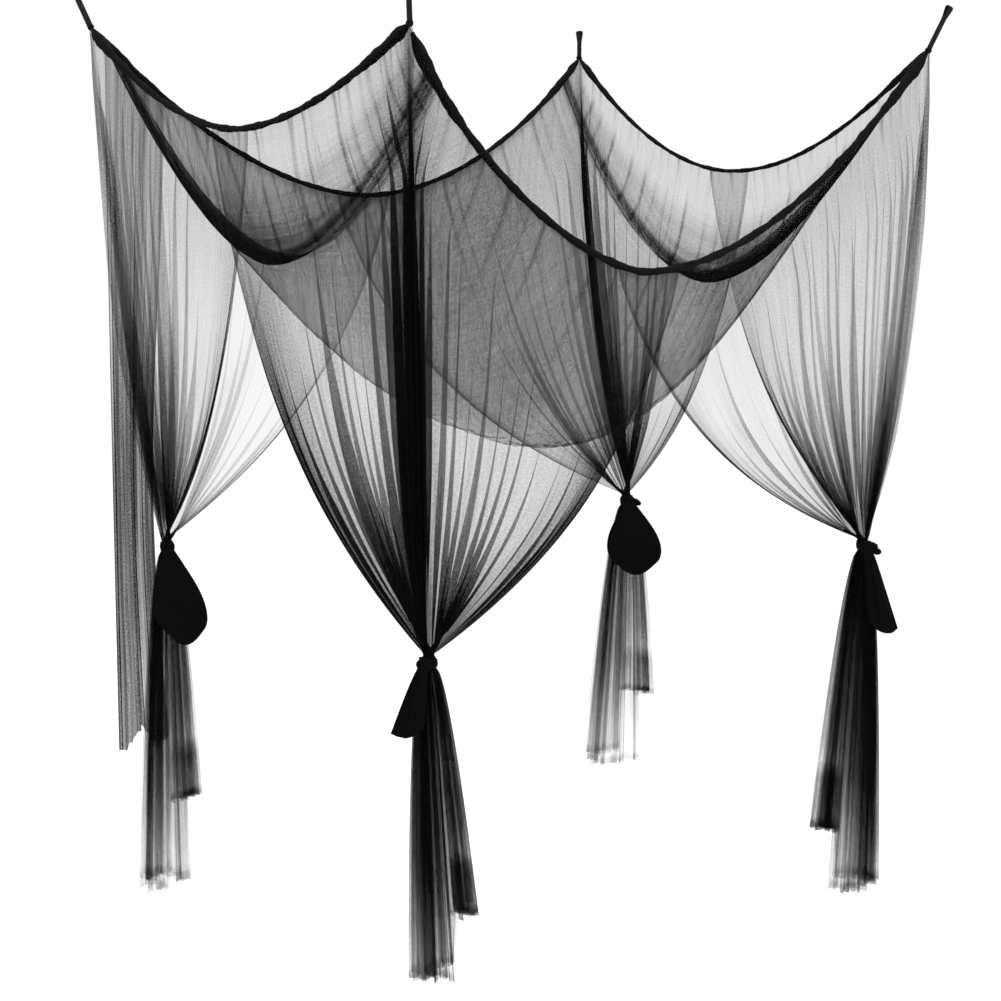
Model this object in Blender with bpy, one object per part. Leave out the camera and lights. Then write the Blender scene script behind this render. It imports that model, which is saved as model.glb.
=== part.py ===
"""Mosquito net canopy: a roof panel and four corner curtains of fine net, hung by a loop at each corner.

Metres, +Z up. The origin is where the near loop hangs from its hook.
The corners are named as seen from outside the near one: left, near, right and far, anticlockwise.
"""

import math

import bpy
import numpy as np

for leftover in list(bpy.data.objects):
    bpy.data.objects.remove(leftover, do_unlink=True)

# ---------------------------------------------------------------- driving dimensions
SPAN_X = 1.50  # from the left corner to the near one
SPAN_Y = 1.80  # from the near corner to the right one
NET_THICK = 0.0015
GAP = 0.0003  # between pieces that touch
SEAT_SLACK = 0.0002  # for the cloth's own slope where it hangs on a binding

# Each corner: its place, and where its curtain's neck is tied. The hem is the lowest one of that tail.
CORNER_COLUMNS = (
    *("x", "y", "level", "knot_x", "knot_y", "knot_z"),
    *("neck_r", "hem_z", "tail_r", "tail_x", "tail_y"),
)
CORNER_TABLE = {
    "left": (-SPAN_X, 0.0, 0.040, 0.120, 0.140, -1.430, 0.0130, -2.435, 0.085, 0.000, 0.000),
    "near": (0.0, 0.0, 0.000, -0.105, 0.125, -1.560, 0.0180, -2.370, 0.075, 0.022, 0.027),
    "right": (0.0, SPAN_Y, -0.025, -0.100, -0.115, -1.425, 0.0130, -2.430, 0.090, -0.022, -0.028),
    "far": (-SPAN_X, SPAN_Y, -0.010, 0.270, -0.020, -1.430, 0.0150, -2.290, 0.102, -0.012, -0.016),
}
CORNERS = {name: dict(zip(CORNER_COLUMNS, row)) for name, row in CORNER_TABLE.items()}
RING = ("left", "near", "right", "far")  # anticlockwise from above

# Each side's binding hangs as a curve: how deep, how far along its lowest point is, and how full the curve
# is before it and after it, where 2 is a parabola and less is more of a V.
# Where two curtains meet in the middle of a side, one of them passes behind the other.
SIDE_COLUMNS = ("sag", "low", "power", "end_power", "behind")
SIDE_TABLE = {
    ("left", "near"): (0.264, 0.48, 1.75, 1.75, "left"),
    ("near", "right"): (0.595, 0.42, 1.50, 1.95, "right"),
    ("right", "far"): (0.350, 0.53, 2.05, 1.85, "right"),
    ("far", "left"): (0.455, 0.48, 1.85, 1.85, "far"),
}
SIDES = {ends: dict(zip(SIDE_COLUMNS, row)) for ends, row in SIDE_TABLE.items()}
HANG_BLUNT = 0.035  # how round a hung curve is at its lowest point

BINDING_END_R = 0.0035  # where a binding meets its corner tab
BINDING_THICK_R = 0.0105  # the bunched stretch next to it
BINDING_THICK_AT = 0.05
BINDING_THICK_RUN = 0.16
BINDING_END_RUN = 0.035
BINDING_UNEVEN = ((0.09, 37.0), (0.06, 83.0))  # share of the radius, radians a metre
BINDING_MID_R = 0.0048
BINDING_SIDES = 6
TAB_R = 0.0085  # the sewn tab in which the bindings of a corner meet

# Roof lines that run from the near-right side across to the far-left one, from the left-near side inwards.
# edge is where a line starts on the two bindings, mid is where it crosses the roof's middle.
ROOF_COLUMNS = ("edge", "mid", "mid_z", "power")
ROOF_START = (  # down the flap, through the bunched roll and over its lip
    (0.018, 0.030, -0.400, 1.8),
    (0.038, 0.066, -0.530, 1.8),
    (0.058, 0.100, -0.600, 1.8),
    (0.078, 0.130, -0.580, 1.8),
    (0.098, 0.165, -0.575, 2.0),
    (0.130, 0.215, -0.640, 2.6),
)
ROOF_END = (  # the same, measured back from the right-far side
    (0.130, 0.215, -0.710, 1.9),
    (0.098, 0.165, -0.670, 1.8),
    (0.078, 0.130, -0.680, 1.8),
    (0.058, 0.100, -0.700, 1.8),
    (0.038, 0.066, -0.640, 1.8),
    (0.018, 0.030, -0.500, 1.8),
)
BELLY_LINES = 11
BELLY_DEPTH = 0.450
BELLY_LOW = 0.52
BELLY_POWER = 2.0
BELLY_FULL = 0.6  # more of a U across than the lines beside the rolls
ROOF_ROWS = 16  # across, and so the segments of the two short bindings
ROOF_LOW = 0.52  # where a roof line is lowest, from the near-right side
ROOF_CROWDING = 0.06  # moves rows of the roof towards its corners
ROOF_SWELL_POWER = 0.8  # how soon a roof line reaches its place in the middle
ROOF_CORNER_IN = 0.014
ROOF_CORNER_DOWN = 0.012

# Curtains
OVERLAP = 0.055  # past the middle of a side, as a share of that side
LONGEST_STEP = 0.105  # of a column of a curtain along its heading
OUTER_HANG = math.radians(25)  # where on the binding a curtain hangs, below straight outwards
INNER_HANG = math.radians(80)  # and where it passes behind its neighbour
HANG_TURN = 0.35  # how far from the corner it has come round to there
ROOF_HANG = math.radians(50)  # below straight inwards
DROP_ROWS = (0.0, 0.05, 0.13, 0.24, 0.36, 0.49, 0.62, 0.74, 0.85, 0.94)
TAIL_ROWS = (0.07, 0.20, 0.42, 0.68, 1.0)
NECK_HALF = 0.012  # half the height of the neck inside its tie
NECK_THICK = 0.0011
NECK_PLEAT = 0.0011
NECK_ARC = math.radians(290)  # the gathered net is a ring that stays open towards the bed
CORNER_OUT = 0.006  # a curtain's corner clears the tab by this, and is this far below it
CORNER_DOWN = 0.010
FALL_POWER = 1.45  # how long the cloth falls straight before it sweeps in to its knot
FALL_MORE = 0.9
BEHIND = 0.24  # of a curtain's free edge that may lie over its neighbour, and so stays smooth near the top
BEHIND_DROP = 0.45
BEHIND_FADE = 0.15
PLEAT_SHARE = 0.62  # of the depth that the cloth's spare width would give
PLEAT_START = 0.12  # of the drop, over which the pleats open from the sewn edge
PLEAT_LEAST = 0.004
PLEAT_MOST = 0.085
PLEAT_FADE = 0.8
PLEAT_PITCH = 1.42  # the deepest at the top, for each unit of the columns' pitch
CALM_DEPTH = 0.003  # of the left curtain's pleats beside the loose width
CALM_MARGIN = 0.06
TAIL_POWER = 0.55  # a tail widens fast below its tie, and then hangs
TAIL_PLEAT = 0.024
HEM_WAVE = 0.012

# The part of each tail's hem that is stepped up: the way it faces, and by how much
STEP_FROM = 0.35  # cosine of how far round from there it starts
STEP_SOFT = 0.25
HEM_STEPS = {
    "left": (math.radians(25), 0.26),
    "near": (math.radians(52), 0.17),
    "right": (math.radians(215), 0.16),
    "far": (math.radians(70), 0.22),
}

# Loose width beside the left curtain
LOOSE_START = 0.050  # along the far-left side, from the left corner
LOOSE_WIDTH = 0.190
LOOSE_DROP = 2.070  # below the corner
LOOSE_COLUMNS = 10
LOOSE_ROWS = 8
LOOSE_CLEAR = 0.0022  # from the binding to the middle of the cloth
LOOSE_CORNER_CLEAR = 0.006  # more where the binding is thickest
LOOSE_CORNER_RUN = 0.06
LOOSE_NARROW = 0.30
LOOSE_PLEAT = 0.007
LOOSE_OUT = 0.016
LOOSE_HEM_WAVE = 0.03

# Ties: a bow loop or a spread free end. toward is where its knot faces, shift is how far its foot is to
# one side, stand is how far its foot stands off the net, and nubs are the small knotted ends at the knot.
TIE_THICK = 0.0028
TIE_HALF = 0.011  # half the height of the band round the neck
BAND_SIDES = 16
BAND_SLOPE = 0.9  # the band's inner face is this much lower than its outer one
TIE_COLUMNS = 6
TIE_END_ROWS = 6
TIE_STAND_POWER = 0.6  # it stands off soonest near its knot, as the tail behind it widens
TIE_FOOT = 0.22  # a free end's width at the knot, as a share of its widest
TIE_FOLD = 0.006
TIE_FOLD_RATE = 3.6
TIE_CURVE = 0.09  # of the cut edge
TIE_SLANT = 0.05
BOW_ROWS = 14
BOW_PUFF = 0.020
BOW_FOOT = 0.14  # a bow loop's width at the knot, as a share of its widest
BOW_WIDEST = 0.68  # of the way down
BOW_ROUND = 0.44
BOW_CURVE = 0.15
BOW_CREASE = 0.0015
KNOT_OVERLAP = 0.75  # of the knot's depth that stands in front of the band
CLOTH_IN_KNOT = 0.010
CLOTH_RISE = 0.004
KNOT_RADII = (0.019, 0.012, 0.018)  # across, outwards, up
NUB_RADII = (0.016, 0.008, 0.010)
FACING = math.radians(-38)
TIE_COLUMN_NAMES = ("bow", "toward", "wide", "tall", "shift", "stand", "slant", "nubs")
TIE_TABLE = {
    "left": (True, FACING + 0.25, 0.148, 0.280, 0.036, 0.075, 0.0, ()),
    "near": (False, FACING - 0.30, 0.085, 0.180, -0.030, 0.050, 1.0, ()),
    "right": (False, FACING + 0.20, 0.090, 0.245, 0.036, 0.060, -1.0, ((0.020, 0.002), (0.03, -0.013))),
    "far": (True, FACING + 0.15, 0.172, 0.235, 0.010, 0.080, 0.0, ((0.026, -0.006),)),
}

# Hanging loops
LOOP_WIDE = 0.018
LOOP_THICK = 0.002
LOOP_EYE_R = 0.006
LOOP_EYE_TALL = 0.034
LOOP_FOOT = 0.003  # from the corner to where its two ends go into the tab
# lean is outwards, for each unit up, and hole is the way through the eye.
LOOP_COLUMNS = ("length", "lean", "hole")
LOOP_TABLE = {
    "left": (0.130, 0.45, (0.0, 1.0, 0.0)),
    "near": (0.125, 0.20, (1.0, 0.0, 0.0)),
    "right": (0.132, 0.47, (0.0, 1.0, 0.0)),
    "far": (0.085, 0.05, (1.0, 0.0, 0.0)),
}
LOOPS = {name: dict(zip(LOOP_COLUMNS, row)) for name, row in LOOP_TABLE.items()}
EYE_TURNS = [math.radians(angle) for angle in range(-15, 196, 30)]


# ---------------------------------------------------------------- materials and objects
def make_material(name, colour, roughness, alpha=1.0):
    material = bpy.data.materials.new(name)
    material.use_nodes = True
    shader = material.node_tree.nodes["Principled BSDF"]
    shader.inputs["Base Color"].default_value = (*colour, 1.0)
    shader.inputs["Roughness"].default_value = roughness
    shader.inputs["Metallic"].default_value = 0.0
    shader.inputs["Alpha"].default_value = alpha
    return material


NET = make_material("black_net", (0.02, 0.02, 0.022), 0.8, 0.6)
TAPE = make_material("black_tape", (0.008, 0.008, 0.009), 0.75)
WEBBING = make_material("black_webbing", (0.01, 0.01, 0.011), 0.7)
TIE_CLOTH = make_material("black_tie_cloth", (0.005, 0.005, 0.006), 0.6)


def outward(corner):
    """The horizontal direction out of the canopy at a corner, along its diagonal."""
    place = CORNERS[corner]
    signs = [math.copysign(1, place["x"] + SPAN_X / 2), math.copysign(1, place["y"] - SPAN_Y / 2), 0.0]
    return np.array(signs) / math.sqrt(2)


def corner_point(corner):
    place = CORNERS[corner]
    return np.array([place["x"], place["y"], place["level"]])


def knot_point(corner):
    place = CORNERS[corner]
    return np.array([place["x"] + place["knot_x"], place["y"] + place["knot_y"], place["knot_z"]])


def loop_direction(corner):
    direction = outward(corner) * LOOPS[corner]["lean"] + np.array([0.0, 0.0, 1.0])
    return direction / np.linalg.norm(direction)


def loop_bearing(corner):
    """Where a hook bears in a corner's loop."""
    return corner_point(corner) + loop_direction(corner) * LOOPS[corner]["length"]


# The shapes below are worked out from the near corner, and this empty moves them all so that the near
# loop's bearing is at the origin.
net = bpy.data.objects.new("net", None)
net.location = -loop_bearing("near")
bpy.context.collection.objects.link(net)


def add_object(name, points, faces, material):
    mesh = bpy.data.meshes.new(name)
    mesh.from_pydata([tuple(map(float, point)) for point in points], [], faces)
    mesh.materials.append(material)
    mesh.update()
    made = bpy.data.objects.new(name, mesh)
    made.parent = net
    bpy.context.collection.objects.link(made)
    return made


def unit(vectors):
    return vectors / np.maximum(np.linalg.norm(vectors, axis=-1, keepdims=True), 1e-12)


def grid_normals(grid):
    """A normal for each point of a grid, and how much to stretch it so that folds keep their thickness."""
    down = grid[1:, :-1] - grid[:-1, :-1], grid[1:, 1:] - grid[:-1, 1:]
    along = grid[:-1, 1:] - grid[:-1, :-1], grid[1:, 1:] - grid[1:, :-1]
    faces = unit(np.cross(along[0] + along[1], down[0] + down[1]))
    total = np.zeros_like(grid)
    places = (slice(0, -1), slice(1, None))
    for rows in places:
        for columns in places:
            total[rows, columns] += faces
    normals = unit(total)
    least = np.ones(grid.shape[:2])
    for rows in places:
        for columns in places:
            cosine = (normals[rows, columns] * faces).sum(-1)
            least[rows, columns] = np.minimum(least[rows, columns], cosine)
    return normals, 1.0 / np.clip(least, 0.55, 1.0)


def cloth_solid(name, grid, thick, material):
    """A closed solid, half its thickness to each side of a grid of points. thick may be one value a row."""
    grid = np.asarray(grid, float)
    rows, columns = grid.shape[:2]
    normals, stretch = grid_normals(grid)
    half = np.broadcast_to(np.asarray(thick, float).reshape(-1, 1) / 2, (rows, columns)) * stretch
    shift = normals * half[..., None]
    points = np.concatenate([(grid + shift).reshape(-1, 3), (grid - shift).reshape(-1, 3)])
    back = rows * columns

    def at(row, column):
        return row * columns + column

    faces = []
    for row in range(rows - 1):
        for column in range(columns - 1):
            a, b = at(row, column), at(row, column + 1)
            c, d = at(row + 1, column + 1), at(row + 1, column)
            faces += [(a, c, b), (a, d, c), (back + a, back + b, back + c), (back + a, back + c, back + d)]
    rim = [at(0, column) for column in range(columns)]
    rim += [at(row, columns - 1) for row in range(1, rows)]
    rim += [at(rows - 1, column) for column in range(columns - 2, -1, -1)]
    rim += [at(row, 0) for row in range(rows - 2, 0, -1)]
    for here, there in zip(rim, rim[1:] + rim[:1]):
        faces += [(here, there, back + there), (here, back + there, back + here)]
    return add_object(name, points, [face[::-1] for face in faces], material)


# ---------------------------------------------------------------- how things hang
def hang(share, low, power):
    """0 at both ends of a hung curve and 1 at its lowest point. power 2 is a parabola, and less is a V."""
    turned = np.clip(share, 0.0, 1.0) ** (math.log(0.5) / math.log(low))
    off = np.sqrt((2 * turned - 1) ** 2 + HANG_BLUNT**2)
    top, bottom = math.hypot(1, HANG_BLUNT) ** power, HANG_BLUNT**power
    return (top - off**power) / (top - bottom)


def side_z(side, share):
    """Height of a side's binding at a share of the way from its first corner."""
    start, end = (CORNERS[name]["level"] for name in side)
    shape = SIDES[side]
    power = shape["power"] if share < shape["low"] else shape["end_power"]
    return start + (end - start) * share - shape["sag"] * hang(share, shape["low"], power)


def side_point(side, share):
    start, end = (corner_point(name) for name in side)
    point = start + (end - start) * share
    point[2] = side_z(side, share)
    return point


def roof_lines():
    """The values of ROOF_COLUMNS for each roof line between the two short bindings."""
    lines = [dict(zip(ROOF_COLUMNS, row)) for row in ROOF_START]
    ends = [dict(zip(ROOF_COLUMNS, row)) for row in ROOF_END]
    for line in ends:
        line["edge"] = SPAN_Y - line["edge"]
        line["mid"] = SPAN_Y - line["mid"]
    first, last = lines[-1], ends[0]
    for step in range(1, BELLY_LINES + 1):
        share = step / (BELLY_LINES + 1)
        line = {key: first[key] + (last[key] - first[key]) * share for key in ROOF_COLUMNS}
        swell = float(hang(share, BELLY_LOW, BELLY_POWER))
        line["mid_z"] -= BELLY_DEPTH * swell
        line["power"] += BELLY_FULL * swell
        lines.append(line)
    return lines + ends


ROOF_LINES = roof_lines()
LONG_SHARES = [line["edge"] / SPAN_Y for line in ROOF_LINES]


def even_shares(count):
    """Shares of a short side, closer together near its corners."""
    even = [step / count for step in range(count + 1)]
    return [share - ROOF_CROWDING * math.sin(2 * math.pi * share) for share in even]


SHORT_SHARES = even_shares(ROOF_ROWS)


def side_shares(side):
    """Where a side's binding has its points. The cloth hangs from the same ones."""
    if side in (("left", "near"), ("right", "far")):
        shares = SHORT_SHARES[1:-1]
        return list(shares) if side[0] == "left" else [1 - share for share in shares][::-1]
    return list(LONG_SHARES) if side[0] == "near" else [1 - share for share in LONG_SHARES][::-1]


def side_frame(side):
    """Along a side, and straight out of it."""
    start, end = (corner_point(name) for name in side)
    along = unit((end - start) * np.array([1.0, 1.0, 0.0]))
    return along, np.array([along[1], -along[0], 0.0])


def side_line(side):
    """The binding's axis: its points, tangents and radii, between the two corner tabs."""
    shares = side_shares(side)
    points = [side_point(side, share) for share in shares]
    for corner, end in ((side[0], 0), (side[1], -1)):
        away = unit(points[end] - corner_point(corner))
        tip = corner_point(corner) + away * (TAB_R + GAP)
        points.insert(0 if end == 0 else len(points), tip)
    points = np.array(points)
    steps = np.linalg.norm(np.diff(points, axis=0), axis=1)
    along = np.concatenate([[0.0], np.cumsum(steps)])
    tangents = unit(np.gradient(points, axis=0))
    inward = np.minimum(along, along[-1] - along)
    thick = BINDING_MID_R + (BINDING_THICK_R - BINDING_MID_R) * (
        np.exp(-(((inward - BINDING_THICK_AT) / BINDING_THICK_RUN) ** 2))
    )
    uneven = 1 + sum(size * np.sin(along * rate) for size, rate in BINDING_UNEVEN)
    radii = BINDING_END_R + (thick * uneven - BINDING_END_R) * np.clip(inward / BINDING_END_RUN, 0, 1)
    return points, tangents, radii


LINES = {side: side_line(side) for side in SIDES}


# ---------------------------------------------------------------- bindings
def make_binding(side):
    points, tangents, radii = LINES[side]
    _, out = side_frame(side)
    rings = []
    for point, tangent, radius in zip(points, tangents, radii):
        up = np.cross(out, tangent)
        up = up if up[2] > 0 else -up
        for step in range(BINDING_SIDES):
            angle = 2 * math.pi * (step + 0.5) / BINDING_SIDES
            rings.append(point + radius * (math.cos(angle) * out + math.sin(angle) * unit(up)))
    count = len(points)
    faces = []
    for ring in range(count - 1):
        for step in range(BINDING_SIDES):
            a = ring * BINDING_SIDES + step
            b = ring * BINDING_SIDES + (step + 1) % BINDING_SIDES
            faces.append((a, b, b + BINDING_SIDES, a + BINDING_SIDES))
    faces.append(tuple(range(BINDING_SIDES))[::-1])
    faces.append(tuple((count - 1) * BINDING_SIDES + step for step in range(BINDING_SIDES)))
    made = add_object(f"binding_{side[0]}_{side[1]}", rings, faces, TAPE)
    if signed_volume(made.data) < 0:
        made.data.flip_normals()
    return made


def signed_volume(mesh):
    total = 0.0
    for face in mesh.polygons:
        first, *rest = (mesh.vertices[index].co for index in face.vertices)
        for second, third in zip(rest, rest[1:]):
            total += first.dot(second.cross(third))
    return total


# ---------------------------------------------------------------- roof
def make_roof():
    """Lines that each hang from the near-right binding across to the far-left one."""
    near_right, far_left = ("near", "right"), ("far", "left")
    grid = np.zeros((ROOF_ROWS + 1, len(ROOF_LINES) + 2, 3))
    short = [("left", "near"), ("right", "far")]
    for row, share in enumerate(SHORT_SHARES):
        swell = math.sin(math.pi * share) ** ROOF_SWELL_POWER
        for column, line in enumerate(ROOF_LINES, 1):
            y = line["edge"] + (line["mid"] - line["edge"]) * swell
            first = side_z(near_right, line["edge"] / SPAN_Y)
            second = side_z(far_left, 1 - line["edge"] / SPAN_Y)
            dip = (first + second) / 2 - line["mid_z"]
            z = first + (second - first) * share - dip * hang(share, ROOF_LOW, line["power"])
            grid[row, column] = (-SPAN_X * share, y, z)
    for row, share in enumerate(SHORT_SHARES):
        grid[row, 0] = side_point(short[0], 1 - share)
        grid[row, -1] = side_point(short[1], share)
    seat_roof(grid)
    return cloth_solid("roof_net", grid, NET_THICK, NET)


def seat_roof(grid):
    """Moves the roof's edges from the bindings' axes to their inner side."""
    for side, edge in (
        (("left", "near"), grid[::-1, 0]),
        (("near", "right"), grid[0]),
        (("right", "far"), grid[:, -1]),
        (("far", "left"), grid[-1, ::-1]),
    ):
        _, out = side_frame(side)
        points, tangents, radii = LINES[side]
        for place in range(1, len(points) - 1):
            edge[place] = seat(points[place], tangents[place], radii[place], -out, ROOF_HANG)
    for corner, place in (("near", (0, 0)), ("left", (-1, 0)), ("right", (0, -1)), ("far", (-1, -1))):
        inward = -outward(corner) * ROOF_CORNER_IN
        grid[place] = corner_point(corner) + inward - np.array([0, 0, ROOF_CORNER_DOWN])


def seat(point, tangent, radius, out, angle):
    """A point of a cloth's edge that hangs on a binding, at an angle below a horizontal direction."""
    up = np.cross(out, tangent)
    up = unit(up if up[2] > 0 else -up)
    clear = radius + GAP + NET_THICK / 2 * math.cos(angle) + SEAT_SLACK
    return point + clear * (math.cos(angle) * out - math.sin(angle) * up)


# ---------------------------------------------------------------- curtains
def heading(corner):
    """The line along which a corner's curtain is sewn, from one free edge round the corner to the other."""
    place = RING.index(corner)
    before = (RING[place - 1], corner)
    after = (corner, RING[(place + 1) % 4])
    line = []
    for side, ends in ((before, "last"), (after, "first")):
        points, tangents, radii = LINES[side]
        _, out = side_frame(side)
        low = SIDES[side]["low"]
        hangs = INNER_HANG if SIDES[side]["behind"] == corner else OUTER_HANG
        shares = [0.0, *side_shares(side), 1.0]
        if ends == "last":
            picked = [index for index, share in enumerate(shares) if share > low - OVERLAP][:-2]
        else:
            picked = [index for index, share in enumerate(shares) if share < low + OVERLAP][2:]
        for index in picked:
            away = np.linalg.norm((points[index] - corner_point(corner))[:2])
            angle = OUTER_HANG + (hangs - OUTER_HANG) * min(1.0, away / HANG_TURN)
            line.append(seat(points[index], tangents[index], radii[index], out, angle))
        if ends == "last":
            beyond = outward(corner) * (TAB_R + CORNER_OUT)
            line.append(corner_point(corner) + beyond - np.array([0, 0, CORNER_DOWN]))
    divided = [line[0]]
    for start, end in zip(line, line[1:]):
        count = max(1, math.ceil(np.linalg.norm(end - start) / LONGEST_STEP))
        divided += [start + (end - start) * step / count for step in range(1, count + 1)]
    return np.array(divided)


def travel(drop):
    """How far in towards the knot the cloth has moved at a share of its drop, slowly and then fast."""
    return drop ** (FALL_POWER + FALL_MORE * drop)


def ring_angles(corner, count):
    direction = outward(corner)
    middle = math.atan2(direction[1], direction[0])
    return middle + (np.linspace(0, 1, count) - 0.5) * NECK_ARC


def make_curtain(corner):
    top = heading(corner)
    count = len(top)
    place = CORNERS[corner]
    knot = knot_point(corner)
    angles = ring_angles(corner, count)
    around = np.stack([np.cos(angles), np.sin(angles), np.zeros(count)], axis=1)
    steps = np.linalg.norm(np.diff(top, axis=0), axis=1)
    width = np.concatenate([[steps[0]], (steps[1:] + steps[:-1]) / 2, [steps[-1]]])
    fold = np.where(np.arange(count) % 2, 1.0, -1.0)
    run = np.concatenate([[0.0], np.cumsum(steps)])
    edge = np.minimum(run, run[-1] - run)  # from the nearer free edge
    neck_top = knot + np.array([0, 0, NECK_HALF])
    rows, thicks = [], []
    for drop in DROP_ROWS:
        moved = travel(drop)
        row = top + (neck_top + around * place["neck_r"] - top) * np.array([moved, moved, drop])
        spare, pitch = depth_of_pleats(row, width)
        fading = PLEAT_LEAST + PLEAT_MOST * (1 - drop) ** PLEAT_FADE
        limit = np.minimum(fading, pitch * (PLEAT_PITCH - drop))
        if corner == "left":
            calm = (top[:, 0] < -SPAN_X) & (top[:, 1] < LOOSE_START + LOOSE_WIDTH + CALM_MARGIN)
            limit = np.where(calm, CALM_DEPTH, limit)
        smooth = BEHIND * (1 - drop / BEHIND_DROP)
        quiet = np.clip((edge - smooth) / BEHIND_FADE, 0, 1) if drop < BEHIND_DROP else 1.0
        depth = np.minimum(spare * PLEAT_SHARE, limit) * quiet * min(1.0, drop / PLEAT_START)
        rows.append(row + pleat_normals(row) * (depth * fold)[:, None])
        thicks.append(NET_THICK + (NECK_THICK - NET_THICK) * drop**4)
    for level in (NECK_HALF, -NECK_HALF):
        ring = place["neck_r"] + NECK_PLEAT * fold
        rows.append(knot + around * ring[:, None] + np.array([0, 0, level]))
        thicks.append(NECK_THICK)
    toward, lift = HEM_STEPS[corner]
    facing = np.clip((np.cos(angles - toward) - STEP_FROM) / STEP_SOFT, 0, 1)
    hem = place["hem_z"] + lift * facing * facing * (3 - 2 * facing) + HEM_WAVE * np.sin(5 * angles)
    for fall in TAIL_ROWS:
        z = knot[2] - NECK_HALF + (hem - knot[2] + NECK_HALF) * fall
        spread = place["neck_r"] + (place["tail_r"] - place["neck_r"]) * fall**TAIL_POWER
        pitch = spread * NECK_ARC / (count - 1)
        spare = 0.5 * math.sqrt(max(0.0, width.mean() ** 2 - pitch**2))
        depth = min(spare * PLEAT_SHARE, NECK_PLEAT + TAIL_PLEAT * fall)
        radius = spread + depth * fold * (1 + 0.2 * np.sin(3 * angles))
        row = knot + around * radius[:, None] + np.array([place["tail_x"], place["tail_y"], 0.0]) * fall
        row[:, 2] = z
        rows.append(row)
        thicks.append(NECK_THICK + (NET_THICK - NECK_THICK) * min(1.0, fall * 4))
    return cloth_solid(f"curtain_{corner}", rows, np.array(thicks), NET)


def depth_of_pleats(row, width):
    """Half the depth of the pleats that use up the cloth's spare width, and the pitch of the columns."""
    gaps = np.linalg.norm(np.diff(row, axis=0), axis=1)
    pitch = np.concatenate([[gaps[0]], (gaps[1:] + gaps[:-1]) / 2, [gaps[-1]]])
    return 0.5 * np.sqrt(np.maximum(0.0, width**2 - pitch**2)), pitch


def pleat_normals(row):
    """Horizontal, square to a row's run, and pointing out of the canopy."""
    run = np.gradient(row, axis=0)
    return unit(np.stack([run[:, 1], -run[:, 0], np.zeros(len(row))], axis=1))


# ---------------------------------------------------------------- loose width
def make_loose_width():
    """A narrow width beside the left curtain that hangs straight, outside the gathered one."""
    side = ("far", "left")
    points, _, radii = LINES[side]
    _, out = side_frame(side)
    grid = np.zeros((LOOSE_ROWS + 1, LOOSE_COLUMNS + 1, 3))
    hem_z = CORNERS["left"]["level"] - LOOSE_DROP
    for column in range(LOOSE_COLUMNS + 1):
        run = LOOSE_WIDTH * column / LOOSE_COLUMNS
        y = LOOSE_START + run
        axis = np.array([-SPAN_X, y, np.interp(y, points[::-1, 1], points[::-1, 2])])
        radius = np.interp(y, points[::-1, 1], radii[::-1])
        corner_clear = LOOSE_CORNER_CLEAR * max(0.0, 1 - run / LOOSE_CORNER_RUN)
        top = axis + out * (radius + LOOSE_CLEAR + corner_clear)
        for row in range(LOOSE_ROWS + 1):
            drop = row / LOOSE_ROWS
            narrow = 1 - LOOSE_NARROW * math.sin(math.pi * min(1.0, drop * 0.8)) ** 2
            point = np.array([top[0], LOOSE_START + run * narrow, top[2] + (hem_z - top[2]) * drop])
            point += out * (LOOSE_PLEAT * min(1, drop * 3) * (-1) ** column + LOOSE_OUT * min(1, drop * 6))
            point[2] -= LOOSE_HEM_WAVE * math.sin(1.7 * column) * drop**3
            grid[row, column] = point
    return cloth_solid("loose_width", grid, NET_THICK, NET)


# ---------------------------------------------------------------- hanging loops
def prism(name, outline, depth, frame, origin, material):
    """A flat outline in a frame's first two directions, made deep along its third."""
    across, up, through = frame
    points = []
    for side in (-0.5, 0.5):
        points += [origin + across * p + up * q + through * depth * side for p, q in outline]
    count = len(outline)
    faces = [tuple(range(count)), tuple(range(2 * count - 1, count - 1, -1))]
    faces += [(step, count + step, count + (step + 1) % count, (step + 1) % count) for step in range(count)]
    made = add_object(name, points, faces, material)
    if signed_volume(made.data) < 0:
        made.data.flip_normals()
    return made


def eye_outline(radius, foot, start, length):
    """A strap that is foot wide to each side, and widens into an eye with its inner top at length."""
    middle = length - LOOP_EYE_R
    arc = [(radius * math.cos(turn), middle + radius * math.sin(turn)) for turn in EYE_TURNS]
    low = middle - LOOP_EYE_TALL + 2 * LOOP_EYE_R - (radius - LOOP_EYE_R)
    return [(foot, start), (foot, low), *arc, (-foot, low), (-foot, start)]


def slot_outline(length):
    middle = length - LOOP_EYE_R
    arc = [(LOOP_EYE_R * math.cos(turn), middle + LOOP_EYE_R * math.sin(turn)) for turn in EYE_TURNS]
    return [(0.0, length - LOOP_EYE_TALL), *arc]


def fuse(target, helper, operation="UNION"):
    helper.hide_render = True
    helper.display_type = "WIRE"
    change = target.modifiers.new(operation.lower(), "BOOLEAN")
    change.operation = operation
    change.object = helper
    change.solver = "EXACT"


def ellipsoid(name, centre, frame, radii, material, turns=8, rings=5):
    points = []
    for ring in range(1, rings):
        tilt = math.pi * ring / rings
        for turn in range(turns):
            angle = 2 * math.pi * (turn + 0.5) / turns
            local = (math.sin(tilt) * math.cos(angle), math.sin(tilt) * math.sin(angle), math.cos(tilt))
            offset = sum(axis * radius * part for axis, radius, part in zip(frame, radii, local))
            points.append(centre + offset)
    points += [centre + frame[2] * radii[2], centre - frame[2] * radii[2]]
    top, bottom = len(points) - 2, len(points) - 1
    faces = []
    for turn in range(turns):
        after = (turn + 1) % turns
        faces.append((top, turn, after))
        last = (rings - 2) * turns
        faces.append((bottom, last + after, last + turn))
        for ring in range(rings - 2):
            a, b = ring * turns, (ring + 1) * turns
            faces.append((a + turn, b + turn, b + after, a + after))
    made = add_object(name, points, faces, material)
    if signed_volume(made.data) < 0:
        made.data.flip_normals()
    return made


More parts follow.
